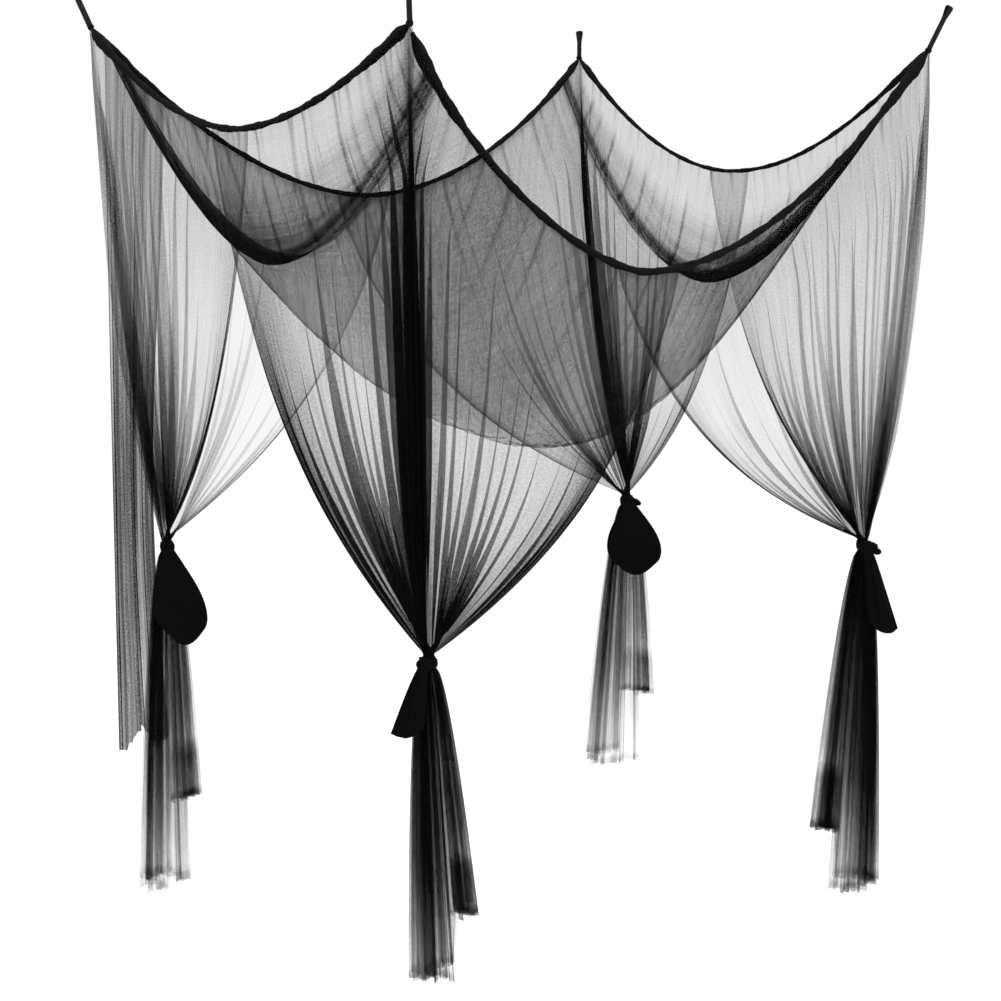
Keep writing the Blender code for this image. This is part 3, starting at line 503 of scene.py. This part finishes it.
# before and after are the parts sewn to the two sides, in the order of RING. A bundle is where the cloth
# draws together at the corner, an edge is a free edge, and weight and lively are how dense and how pleated
# a part is. A bundle_thick below 0 thins the net there, and with a corner_fall below 1 the corner swings in
# sooner than the rest.
CURTAIN_COLUMNS = (
    *("knot_x", "knot_y", "knot_z", "neck_r", "hem_z", "tail_r", "tail_x", "tail_y"),
    *("step_facing", "step", "tail_thick", "bundle", "bundle_wide", "bundle_thick"),
    *("weight_before", "weight_after", "edge_wide", "edge_thick"),
    *("lively_before", "lively_after", "corner_fall"),
)
CURTAIN_TABLE = {
    "left": (
        *(0.120, 0.140, -1.430, 0.0130, -2.435, 0.085, 0.000, 0.000),
        *(25, 0.26, 0.75, 0.50, 0.085, -0.45),
        *(0.20, 0.62, 0.09, 0.7),
        *(0.9, 0.8, 0.70),
    ),
    "near": (
        *(-0.105, 0.125, -1.560, 0.0180, -2.370, 0.075, 0.022, 0.027),
        *(52, 0.17, 1.15, 0.84, 0.15, 3.6),
        *(1.5, 1.25, 0.17, 1.7),
        *(0.60, 0.18, 1.0),
    ),
    "right": (
        *(-0.100, -0.115, -1.425, 0.0130, -2.430, 0.090, -0.022, -0.028),
        *(215, 0.16, 1.05, 0.60, 0.10, -0.50),
        *(0.55, 0.45, 0.11, 1.0),
        *(0.8, 0.7, 1.0),
    ),
    "far": (
        *(0.270, -0.020, -1.430, 0.0150, -2.290, 0.102, -0.012, -0.016),
        *(70, 0.22, 0.70, 0.78, 0.13, 1.0),
        *(0.85, 0.45, 0.09, 0.8),
        *(0.8, 0.7, 1.0),
    ),
}
CURTAINS = {name: dict(zip(CURTAIN_COLUMNS, row)) for name, row in CURTAIN_TABLE.items()}
OVERLAP = 0.055
OUTER_HANG, INNER_HANG, HANG_TURN = math.radians(25), math.radians(80), 0.35
NECK_HALF, NECK_TURNS = 0.012, 2.0  # the gathered cloth winds round more than once, so its layers overlap
SWING_POWER, SWING_LATER = 1.45, 0.9  # how late the drop swings in, and how much later low down
CORNER_FALL_RUN = 0.30
TAIL_POWER = 0.55
FULLNESS = 1.12
PLEAT_WIDE, PLEAT_UNEVEN, PLEAT_DEEP = 0.068, 0.55, 0.32
EDGE_PULL, EDGE_EXTRA = 0.74, 0.02
# Smaller bundles: the part that each is in, how far along it, its width, and how much cloth it draws in.
SMALL_BUNDLES = (("before", 0.60, 0.07, 0.60), ("before", 0.33, 0.05, 0.50), ("after", 0.52, 0.08, 0.60))
HEM_WIDE = 0.014
TUCKS_DOWN = 0.035  # how soon the tucks at the heading fade, as a share of the drop
DROP_ROWS, TAIL_ROWS = 52, 32
STEP_FROM, STEP_TO = 0.42, 0.52  # where the stepped hem begins, as the cosine of how far it faces away
DEEP_HEM, NARROW_HEM = (0.78, 0.80), (0.965, 0.98)  # where they begin, as shares of the tail


def knot_point(corner):
    """The middle of a curtain's neck."""
    offset = np.array([CURTAINS[corner][part] for part in ("knot_x", "knot_y", "knot_z")])
    return corner_point(corner) - UP * LEVELS[corner] + offset


def heading(corner, step=0.005):
    """Points along which a curtain is sewn, and their distance from the corner, negative before it."""
    place = RING.index(corner)
    halves = []
    for side, first in (((RING[place - 1], corner), False), ((corner, RING[(place + 1) % 4]), True)):
        _, low, _, _, behind = SIDES[side]
        shares = np.linspace(0, low + OVERLAP, 500) if first else np.linspace(1, low - OVERLAP, 500)
        axis = side_points(side, shares)
        run = np.concatenate([[0], np.cumsum(np.linalg.norm(np.diff(axis, axis=0), axis=1))])
        wanted = np.linspace(0, run[-1], max(8, int(run[-1] / step)))
        axis = np.stack([np.interp(wanted, run, axis[:, part]) for part in range(3)], axis=1)
        _, out = side_frame(side)
        lift = unit(np.cross(out, unit(np.gradient(axis, axis=0))))
        lift = lift * np.sign(lift[:, 2:3])
        hangs = INNER_HANG if behind == corner else OUTER_HANG
        away = np.linalg.norm((axis - corner_point(corner))[:, :2], axis=1)
        angle = (OUTER_HANG + (hangs - OUTER_HANG) * np.clip(away / HANG_TURN, 0, 1))[:, None]
        clear = binding_radius(side, wanted)[:, None]
        halves.append((axis + clear * (np.cos(angle) * out - np.sin(angle) * lift), wanted))
    (before, run_before), (after, run_after) = halves
    start = smooth(np.concatenate([run_before[:0:-1], run_after]), 0, 0.05)[:, None]
    points = np.concatenate([before[:0:-1], after])
    tip = corner_point(corner) + outward(corner) * TAB_R * 0.5 - UP * 0.005
    return tip + (points - tip) * np.maximum(start, 0.15), np.concatenate([-run_before[:0:-1], run_after])


def from_to(shape, name, run, reach):
    """A column that changes across the corner, from its value before it to its value after it."""
    before, after = shape[f"{name}_before"], shape[f"{name}_after"]
    return before + (after - before) * smooth(run, -0.1, reach)


def gathered(run, bundles, amount):
    """Where each strip of cloth lies once it has drawn together at the bundles. Each has its middle, width
    and strength, and whether it is early: drawn tight high up, and wider further down."""
    thin = np.ones_like(run)
    for middle, width, strength, early in bundles:
        pull = strength * (smooth(amount, 0.0, 0.24) if early else smooth(amount, 0.05, 0.75))
        reach = width * (1 + 1.1 * amount) if early else width
        thin = thin * (1 - pull * np.exp(-(((run - middle) / reach) ** 2)))
    total = np.concatenate([[0], np.cumsum((thin[1:] + thin[:-1]) / 2 * np.diff(run))])
    zero = np.interp(0.0, run, total)
    return np.where(run < 0, (total - zero) / zero * -run[0], (total - zero) / (total[-1] - zero) * run[-1])


def curtain_levels():
    """A curtain's rows from its heading down: the part that each is in, and how far along that part. The
    last two are in the narrow hem."""
    levels = [("drop", value) for value in np.linspace(0, 1, DROP_ROWS)[:-1] ** 1.05]
    levels += [("neck", NECK_HALF), ("neck", 0.0), ("neck", -NECK_HALF)]
    return levels + [("tail", value) for value in (*(np.linspace(0, 1, TAIL_ROWS)[1:-1] ** 1.1), 0.982, 1.0)]


def drop_density(thick, shape, run, edge, weight, seed, value):
    """A row's density with what changes it in the drop: the corner's bundle, the free edges, the weight of
    each part, and the tucks at the heading."""
    settled = float(smooth(value, 0.0, 0.35))
    corner_pull = np.exp(-((run / shape["bundle_wide"]) ** 2))
    thick = thick * (1 + (0.25 + 0.75 * settled) * shape["bundle_thick"] * corner_pull)
    thick = thick * (1 + settled * shape["edge_thick"] * np.exp(-((edge / shape["edge_wide"]) ** 2)))
    thick = thick * (1 + (weight - 1) * smooth(value, 0.0, 0.50))
    return thick * (1 + 2.2 * tucks(run, seed) * math.exp(-value / TUCKS_DOWN))


def tail_density(thick, shape, run, shorter, seed, value):
    """A row's density with what changes it in the tail: less as it spreads, and more in its hems."""
    fading = 1 - 0.25 * smooth(value, 0.0, 0.4) - 0.4 * smooth(value, 0.50, 0.97)
    thick = thick * shape["tail_thick"] * fading
    thick = thick * (1 - 0.30 * shorter + 0.9 * smooth(value, *DEEP_HEM) * shorter)
    thick = thick * (1 + 0.8 * smooth(value, *NARROW_HEM))
    return thick * (1 + 0.45 * value * wander(run + 0.3 * value, seed + 3, 0.16))


def make_curtain(corner, seed):
    shape = CURTAINS[corner]
    top, run = heading(corner)
    count = len(top)
    edge = np.minimum(run - run[0], run[-1] - run)
    knot = knot_point(corner)
    turns = (np.linspace(0, 1, count) - 0.5) * NECK_TURNS * 2 * math.pi
    angle = math.atan2(outward(corner)[1], outward(corner)[0]) + turns
    around = np.stack([np.cos(angle), np.sin(angle), np.zeros(count)], axis=1)
    arms = around * (0.45 + 0.55 * np.clip(0.6 + 0.9 * wander(run, seed + 11, 0.75), 0, 1))[:, None]
    neck = knot + UP * NECK_HALF + arms * shape["neck_r"]
    shorter = smooth(np.cos(angle - math.radians(shape["step_facing"])), STEP_FROM, STEP_TO)
    bottom = shape["hem_z"] - shape["knot_z"] + shape["step"] * shorter
    bottom = bottom + 0.010 * wander(run, seed + 5, 0.42) + 0.008 * np.sin(2 * angle + seed)
    bundles = [(0.0, shape["bundle_wide"], shape["bundle"], True)]
    bundles += [(end, shape["edge_wide"] + EDGE_EXTRA, EDGE_PULL, False) for end in (run[0], run[-1])]
    for part, along, wide, pull in SMALL_BUNDLES:
        end = run[0] if part == "before" else run[-1]
        bundles.append((end * along, wide, pull * shape[f"lively_{part}"], False))
    # Pleats of uneven width. fold takes them in and out, lean slants them aside, and crest is a sharp ridge.
    width = PLEAT_WIDE * (1 + PLEAT_UNEVEN * wander(run, seed, 0.27))
    phase = 2 * math.pi * np.concatenate([[0], np.cumsum(np.diff(run) / width[1:])])
    uneven = np.clip(0.5 + 1.0 * wander(run, seed + 9, 0.21), 0.06, 1.4)
    weight, lively = from_to(shape, "weight", run, 0.1), from_to(shape, "lively", run, 0.2)
    fold = (np.sin(phase) + 0.22 * np.sin(2.37 * phase + seed)) * (0.9 + 0.35 * wander(run, seed + 9, 0.21))
    lean = (np.cos(phase) + 0.22 * np.cos(1.73 * phase + seed)) * uneven
    crest = np.abs(np.sin(phase)) ** 9 * np.clip(0.2 + 1.0 * wander(run, seed + 2, 0.17), 0, 1.2)
    flat_step = FULLNESS * np.gradient(run)
    hem = np.exp(-((edge / HEM_WIDE) ** 4))
    straight = 1 - (1 - shape["corner_fall"]) * np.exp(-((run / CORNER_FALL_RUN) ** 2))
    grid, density, down, last = [], [], [], None
    for kind, value in curtain_levels():
        if kind == "drop":
            moved = value ** ((SWING_POWER + SWING_LATER * value) * straight)
            row = top + (neck - top) * np.stack([moved, moved, np.full(count, value)], axis=1)
            place = gathered(run, bundles, value)
            # Its pleats are shallow under the heading and by the free edges, and pressed flat in the neck.
            limit = min(0.003 + 0.050 * value, 0.002 + 0.052 * (1 - value) ** 0.7)
            slant = 0.20 * limit
            quiet = 0.35 + 0.65 * smooth(edge, 0.24 * (1 - value), 0.24 * (1 - value) + 0.15)
            size = quiet * smooth(value, -0.02, 0.10)
        elif kind == "neck":
            row = knot + arms * shape["neck_r"] + UP * value
            place, limit, size, slant = run, 0.0016, 1.0, 0.0016
        else:
            spread_r = shape["neck_r"] + (shape["tail_r"] - shape["neck_r"]) * value**TAIL_POWER
            row = knot + arms * spread_r + np.array([shape["tail_x"], shape["tail_y"], 0.0]) * value
            row[:, 2] = knot[2] - NECK_HALF + (bottom + NECK_HALF) * value
            place = run
            limit, size = 0.0016 + 0.018 * value**0.6, 1.0 + 0.25 * wander(run, seed + 7, 0.11)
            slant = 0.002 + 0.022 * value**0.5
        row = np.stack([np.interp(place, run, row[:, part]) for part in range(3)], axis=1)
        tangent = np.gradient(row, axis=0)
        if kind == "drop":
            out = unit(np.stack([tangent[:, 1], -tangent[:, 0], np.zeros(count)], axis=1) + 1e-5 * around)
        else:
            out = around
        # A pleat is as deep as its spare cloth lets it be, and is slanted before it is folded.
        pitch = width * np.linalg.norm(tangent, axis=1) / np.maximum(np.gradient(run), 1e-6)
        depth = PLEAT_DEEP * np.sqrt(np.maximum(0.0, (FULLNESS * width) ** 2 - pitch**2))
        sideways = np.minimum(depth, slant) * size * lean * (lively if kind == "drop" else 1.0)
        row = row + unit(tangent * np.array([1, 1, 0])) * sideways[:, None]
        # The density is how much cloth lies in each step across, evened out over a few steps.
        step = np.maximum(np.linalg.norm(np.gradient(row, axis=0), axis=1), 4e-4)
        row = row + out * (np.minimum(depth, limit) * size * fold)[:, None]
        thick = np.clip(flat_step / step, 0.7, 6.0)
        thick = np.convolve(np.pad(thick, 5, mode="edge"), np.ones(11) / 11, mode="valid")
        thick = thick * (1 + 0.35 * crest * lively) * (1 + 1.4 * hem)
        if kind == "drop":
            thick = drop_density(thick, shape, run, edge, weight, seed, value)
        elif kind == "tail":
            thick = tail_density(thick, shape, run, shorter, seed, value)
        grid.append(row)
        density.append(thick)
        down.append(np.zeros(count) if last is None else down[-1] + np.linalg.norm(row - last, axis=1))
        last = row
    cloth = np.stack([np.broadcast_to(run * FULLNESS, (len(grid), count)), np.array(down)], axis=-1)
    made = make_sheet(f"drop_{corner}", np.array(grid), np.array(density), cloth, NET, NET_COVER)
    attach(made, "root")
    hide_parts(f"curtain_{corner}")
    place = RING.index(corner)


for number, name in enumerate(RING):
    make_curtain(name, 1.0 + 2.3 * number)

# ---------------------------------------------------------------- loose width
# A narrow width of the same net beside the left curtain, sewn to the binding from the far corner. Its tie
# doesn't catch it, so it hangs straight down in close pleats.
LOOSE_START, LOOSE_WIDE, LOOSE_DROP = 0.050, 0.190, 2.070
LOOSE_PLEATED = 0.36  # how wide the cloth lies for its weave and density
LOOSE_PLEATS, LOOSE_DENSE = 7, 3.3


def make_loose_width():
    columns, rows = 150, 90
    run = np.linspace(0, 1, columns)
    side = ("far", "left")
    shares = np.linspace(0, 1, 600)
    axis = side_points(side, shares)
    _, out = side_frame(side)
    y = ORIGIN[1] + LOOSE_START + LOOSE_WIDE * run
    top_z = np.interp(y, axis[::-1, 1], axis[::-1, 2])
    hem_z = corner_point("left")[2] - LOOSE_DROP
    phase = 2 * math.pi * (LOOSE_PLEATS * run + 0.9 * wander(run, 3.0, 0.4))
    fold = np.sin(phase) + 0.3 * np.sin(2.1 * phase + 1)
    grid, density, down = [], [], []
    for share in np.linspace(0, 1, rows):
        narrow = 1 - 0.30 * math.sin(math.pi * min(1.0, share * 0.8)) ** 2
        bottom = hem_z - 0.030 * np.sin(9 * run + 0.5) + 0.012 * wander(run, 8.0, 0.2)
        row = np.stack([
            np.full(columns, ORIGIN[0] - SPAN_X) + out[0] * (0.012 + 0.014 * min(1, share * 6)),
            ORIGIN[1] + LOOSE_START + LOOSE_WIDE * run * narrow,
            top_z + (bottom - top_z) * share,
        ], axis=1)
        row += out * (0.006 * min(1.0, share * 5) * fold)[:, None]
        grid.append(row)
        drawn = LOOSE_DENSE * float(0.40 + 0.60 * smooth(share, 0.15, 0.60))
        density.append(LOOSE_PLEATED / LOOSE_WIDE / narrow * drawn * (1 + 0.5 * np.abs(np.sin(phase)) ** 4)
                       * (0.8 + 0.5 * wander(run + 0.2 * share, 4.0, 0.35)))
        down.append(np.full(columns, share * LOOSE_DROP))
    cloth = np.stack([np.broadcast_to(run * LOOSE_PLEATED, (rows, columns)), np.array(down)], axis=-1)
    made = make_sheet("loose_drop", np.array(grid), np.array(density), cloth, NET, NET_COVER)
    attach(made, "root")
    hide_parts("loose_width")


make_loose_width()

# ---------------------------------------------------------------- hanging loops
# A strap of webbing folded into an eye for a hook at each corner, its two ends sewn into a small tab
# where the bindings meet.
# Each loop's length, how far it leans outwards for each unit up, and the way through its eye.
LOOP_TABLE = {
    "left": (0.130, 0.45, (0.0, 1.0, 0.0)),
    "near": (LOOP_LENGTH_NEAR, LOOP_LEAN_NEAR, (1.0, 0.0, 0.0)),
    "right": (0.132, 0.47, (0.0, 1.0, 0.0)),
    "far": (0.085, 0.05, (1.0, 0.0, 0.0)),
}
LOOP_WIDE, LOOP_THICK, LOOP_EYE_R, LOOP_EYE_TALL = 0.018, 0.002, 0.006, 0.034
WEBBING_RIBS, WEBBING_THREADS = 260.0, 170.0  # band scales: a rib every 1.2 mm and a thread every 1.8 mm
STITCHES, STITCH_FROM, STITCH_STEP, STITCH_ASIDE = 6, 0.014, 0.0036, 0.6
STITCH_RADII = (0.0013, 0.0004, 0.0004)


def black_webbing():
    """Narrow woven polyester tape: fine cross ribs every 1.2 mm, with a dull shine."""
    material, tree, shader = new_material(
        "black_webbing", {"Base Color": colour("#101011"), "Roughness": 0.6, "Specular IOR Level": 0.12}
    )
    place = add_node(tree, "ShaderNodeAttribute", attribute_name="cloth").outputs["Vector"]
    ribs = add_node(tree, "ShaderNodeTexWave", {"Vector": place, "Scale": WEBBING_RIBS, "Distortion": 0.6},
                    bands_direction="Y")
    across = add_node(tree, "ShaderNodeTexWave",
                      {"Vector": place, "Scale": WEBBING_THREADS, "Distortion": 0.4}, bands_direction="X")
    weave = add_node(tree, "ShaderNodeMath", {0: ribs.outputs[0], 1: across.outputs[0]}, operation="MULTIPLY")
    bump = add_node(tree, "ShaderNodeBump", {"Strength": 0.5, "Distance": 0.0008, "Height": weave.outputs[0]})
    tree.links.new(bump.outputs[0], shader.inputs["Normal"])
    # Painted shade: the colour follows the height of the weave, darker between the threads and lighter on the
    # raised ones.
    weave_shade = add_node(tree, "ShaderNodeValToRGB", {"Fac": weave.outputs[0]})
    weave_shade.color_ramp.elements[0].color = colour("#040404")
    weave_shade.color_ramp.elements[1].color = colour("#161618")
    tree.links.new(weave_shade.outputs[0], shader.inputs["Base Color"])
    return material


WEBBING = black_webbing()


def lump(name, centre, axes, radii, material, seed, creases=7, deep=0.10):
    """A pulled-tight knot or sewn tab: a rounded form with creases that run over it."""
    rows, columns = 20, 28
    tilt = np.linspace(0.02, math.pi - 0.02, rows)[:, None]
    turn = np.linspace(0, 2 * math.pi, columns, endpoint=False)[None, :]
    swell = 1 + deep * np.sin(creases * turn + 2.2 * np.cos(tilt + seed) + seed) * np.sin(tilt)
    swell = swell + 0.5 * deep * np.sin(3 * turn - 4 * tilt + 2 * seed)
    local = np.stack([np.sin(tilt) * np.cos(turn), np.sin(tilt) * np.sin(turn), np.cos(tilt) + 0 * turn], -1)
    local = np.sign(local) * np.abs(local) ** 0.9 * swell[..., None]
    points = centre + sum(axis * radius * local[..., part, None] for part, (axis, radius) in
                          enumerate(zip(axes, radii)))
    return link_mesh(name, points, capped_faces(rows, columns), material)


def make_loop(corner, seed):
    length, lean, hole = LOOP_TABLE[corner]
    up = unit(outward(corner) * lean + UP)
    through = unit(np.array(hole) - up * np.dot(hole, up))
    across = np.cross(up, through)
    middle, radius, beside = length - LOOP_EYE_R, LOOP_EYE_R + LOOP_THICK / 2, LOOP_THICK * 0.6
    rise = np.linspace(0.003, middle - 0.0018, 60)
    lean_out = beside + (radius - beside) * smooth(rise, length - LOOP_EYE_TALL - 0.006, middle + 0.004)
    turns = np.radians(np.linspace(-12, 192, 40))
    path = [*zip(lean_out, rise), *zip(radius * np.cos(turns), middle + radius * np.sin(turns))]
    path = np.array([*path, *zip(-lean_out[::-1], rise[::-1])])
    along = np.gradient(path, axis=0)
    normal = unit(np.stack([along[:, 1], -along[:, 0]], axis=1))
    half_w, half_t = LOOP_WIDE / 2, LOOP_THICK / 2
    # The strap's outline, in halves of its width and of its thickness.
    section = [(-1, -0.5), (-0.93, -1), (0, -1.06), (0.93, -1), (1, -0.5), (1, 0.5), (0.93, 1), (0, 1.06),
               (-0.93, 1), (-1, 0.5)]
    run = np.concatenate([[0], np.cumsum(np.linalg.norm(np.diff(path, axis=0), axis=1))])
    points, cloth = [], []
    for (p, q), (n_p, n_q), distance in zip(path, normal, run):
        for wide, thick in section:
            p_here, q_here = p + n_p * thick * half_t, q + n_q * thick * half_t
            points.append(corner_point(corner) + across * p_here + up * q_here + through * wide * half_w)
            cloth.append((wide * half_w, distance, 0.0))
    strap = link_mesh(f"strap_{corner}", points, capped_faces(len(path), len(section)), WEBBING)
    store_cloth(strap, cloth)
    axes, radii = (across, through, up), (TAB_R, TAB_R, TAB_R)
    tab = lump(f"tab_{corner}", corner_point(corner), axes, radii, BUNCHED_NET, seed)
    stitches = []
    for face in (-1, 1):
        for row in (-STITCH_ASIDE, STITCH_ASIDE):
            for step in range(STITCHES):
                high = STITCH_FROM + STITCH_STEP * step
                centre = corner_point(corner) + up * high + through * row * half_w
                centre = centre + across * face * (beside + half_t + 0.0002)
                stitches.append(centre)
    thread = link_mesh(f"stitching_{corner}", *stitch_mesh(stitches, (up, through, across)), WEBBING)
    for made in (strap, tab, thread):
        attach(made, "root")
    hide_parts(f"loop_{corner}")


def stitch_mesh(centres, axes):
    """Short raised stitches as small closed lozenges."""
    points, faces = [], []
    for centre in centres:
        first = len(points)
        for axis, size in zip(axes, STITCH_RADII):
            points += [centre + axis * size, centre - axis * size]
        for a in (0, 1):
            for b, c in ((2, 4), (4, 3), (3, 5), (5, 2)):
                face = (first + a, first + b, first + c)
                faces.append(face if a == 0 else face[::-1])
    return points, faces


for number, name in enumerate(RING):
    make_loop(name, 0.7 + number)

# ---------------------------------------------------------------- ties
# A strip of denser black cloth knotted round each neck. Two end in a bow loop that hangs flat like a
# teardrop, and two in a free end spread below the knot. Small knotted ends show beside two knots.
TIE_THICK, TIE_HALF, TIE_STAND_POWER = 0.0028, 0.011, 0.6
STRIP_THICK, STRIP_AREA = 0.0022, 0.75  # the strip tapers, so its cut has this share of the rectangle
BAND_TURNS, BAND_ROUND = 72, 18
TIE_WEAVE, TIE_FOLDS = 1100.0, 34.0  # to the metre: threads of about 1 mm and folds of 30 mm
BOW_ROWS, BOW_COLUMNS, END_ROWS, END_COLUMNS = 66, 27, 44, 31
BOW_PUFF, BOW_FOOT, BOW_WIDEST, BOW_ROUND = 0.020, 0.14, 0.68, 0.44
KNOT_RADII, NUB_RADII = (0.019, 0.012, 0.018), (0.016, 0.008, 0.010)
CLOTH_IN_KNOT = 0.010
FACING = math.radians(-38)  # the way out past the near corner, which the ties face
# shift and stand are how far aside and out the strip's foot hangs, slant is how its end is cut, and nubs are
# the small knotted ends, each aside of the knot and above it.
TIE_COLUMNS = ("bow", "toward", "wide", "tall", "shift", "stand", "slant", "nubs")
TIE_TABLE = {
    "left": (True, FACING + 0.25, 0.148, 0.280, 0.036, 0.075, 0.0, ()),
    "near": (False, FACING - 0.30, 0.085, 0.180, -0.030, 0.050, 1.0, ()),
    "right": (False, FACING + 0.20, 0.090, 0.245, 0.036, 0.060, -1.0, ((0.020, 0.002), (0.030, -0.013))),
    "far": (True, FACING + 0.15, 0.172, 0.235, 0.010, 0.080, 0.0, ((0.026, -0.006),)),
}


def tie_cloth():
    """Close-woven matt black cloth, softly creased."""
    material, tree, shader = new_material(
        "tie_cloth", {"Base Color": colour("#020202"), "Roughness": 0.7, "Specular IOR Level": 0.04}
    )
    place = add_node(tree, "ShaderNodeTexCoord").outputs["Object"]
    weave = add_node(tree, "ShaderNodeTexNoise", {"Vector": place, "Scale": TIE_WEAVE, "Detail": 2.0})
    folds = add_node(
        tree, "ShaderNodeTexNoise", {"Vector": place, "Scale": TIE_FOLDS, "Detail": 3.0, "Roughness": 0.6}
    )
    fine = add_node(
        tree, "ShaderNodeBump", {"Strength": 0.25, "Distance": 0.0005, "Height": weave.outputs[0]}
    )
    soft = add_node(tree, "ShaderNodeBump", {"Strength": 0.5, "Distance": 0.006, "Height": folds.outputs[0],
                                             "Normal": fine.outputs[0]})
    tree.links.new(soft.outputs[0], shader.inputs["Normal"])
    return material


TIE_CLOTH = tie_cloth()


def bow_loop(shape, base, across, outwards):
    """The strip from the knot down, round the foot of the loop, and back up behind."""
    share = np.linspace(0, 1, BOW_ROWS)[:, None]
    side = np.linspace(-1, 1, BOW_COLUMNS)[None, :]
    turn = np.cos(math.pi * share)
    down = 1 - np.abs(2 * share - 1) ** 1.3
    front = np.sign(turn) * np.abs(turn) ** 0.45
    high = BOW_FOOT + (1 - BOW_FOOT) * np.sin(math.pi / 2 * np.minimum(down, BOW_WIDEST) / BOW_WIDEST) ** 1.15
    low = np.sqrt(np.maximum(0.0, 1 - ((down - BOW_WIDEST) / BOW_ROUND) ** 2))
    wide = shape["wide"] / 2 * np.where(down < BOW_WIDEST, high, low)
    drop = shape["tall"] * down * (1 - 0.15 * side * side * down**3)
    puff = BOW_PUFF * np.minimum(1, down * 2.2) * (1.15 - 0.4 * side**2)
    gathers = 0.0022 * np.sin(13 * side + 3 * down) * np.clip(1.1 - down, 0, 1) * np.minimum(1, down * 4)
    stand = shape["stand"] * down**TIE_STAND_POWER
    depth = CLOTH_IN_KNOT + stand + front * (TIE_THICK * 0.75 + puff) + gathers
    return base + ((wide * side + shape["shift"] * down)[..., None] * across + depth[..., None] * outwards
                   - drop[..., None] * UP)


def free_end(shape, base, across, outwards):
    """The strip's end, spread below the knot in soft folds and cut slightly aslant."""
    down = np.linspace(0, 1, END_ROWS)[:, None]
    side = np.linspace(-1, 1, END_COLUMNS)[None, :]
    wide = shape["wide"] / 2 * (0.22 + 0.78 * down**0.8)
    drop = shape["tall"] * down * (1 - (0.09 * side * side + 0.05 * side * shape["slant"]) * down)
    depth = CLOTH_IN_KNOT + shape["stand"] * down**TIE_STAND_POWER
    depth = depth + 0.006 * np.sin(3.6 * side + 0.6) * np.minimum(1, down * 2)
    depth = depth + 0.0018 * np.sin(11 * side + 2 * down) * np.minimum(1, down * 3)
    return base + ((wide * side + shape["shift"] * down)[..., None] * across + depth[..., None] * outwards
                   - drop[..., None] * UP)


def make_tie(corner, seed):
    shape = dict(zip(TIE_COLUMNS, TIE_TABLE[corner]))
    inner = CURTAINS[corner]["neck_r"] + 0.0025
    outwards = np.array([math.cos(shape["toward"]), math.sin(shape["toward"]), 0.0])
    across = np.cross(UP, outwards)
    knot = knot_point(corner) + outwards * (inner + TIE_THICK + KNOT_RADII[1] * 0.75)
    base = knot - outwards * CLOTH_IN_KNOT + UP * 0.004
    grid = (bow_loop if shape["bow"] else free_end)(shape, base, across, outwards)
    cloth = link_mesh(f"tie_strip_{corner}", grid, grid_faces(*grid.shape[:2]), TIE_CLOTH)
    solid = cloth.modifiers.new("thickness", "SOLIDIFY")
    solid.thickness, solid.offset = STRIP_THICK, 0.0
    pieces = [lump(f"tie_knot_{corner}", knot, (across, outwards, UP), KNOT_RADII, TIE_CLOTH, seed)]
    turn = np.linspace(0, 2 * math.pi, BAND_TURNS, endpoint=False)[:, None]
    level = np.linspace(0, 2 * math.pi, BAND_ROUND, endpoint=False)[None, :]
    radius = inner + TIE_THICK * 0.6 + TIE_THICK * 0.65 * np.cos(level)
    radius = radius + 0.0007 * np.sin(5 * level + 2 * turn)
    height = TIE_HALF * np.sin(level) * (1 + 0.14 * np.sin(3 * turn + seed)) + 0.003 * np.sin(turn + seed)
    ring = np.stack([radius * np.cos(turn), radius * np.sin(turn), height + 0 * turn], axis=-1)
    faces = [tuple(point % (BAND_TURNS * BAND_ROUND) for point in face)
             for face in grid_faces(BAND_TURNS + 1, BAND_ROUND, wrap=True)]
    pieces.append(link_mesh(f"tie_band_{corner}", knot_point(corner) + ring, faces, TIE_CLOTH))
    for number, (aside, high) in enumerate(shape["nubs"]):
        axes = (unit(across - UP * 0.5), outwards, unit(UP + across * 0.5))
        centre = knot + across * aside + UP * high
        name = f"tie_nub_{corner}_{number}"
        pieces.append(lump(name, centre, axes, NUB_RADII, TIE_CLOTH, seed + number, 5))
    for made in (cloth, *pieces):
        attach(made, "root")
    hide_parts(f"tie_{corner}")


for number, name in enumerate(RING):
    make_tie(name, 1.0 + 1.9 * number)
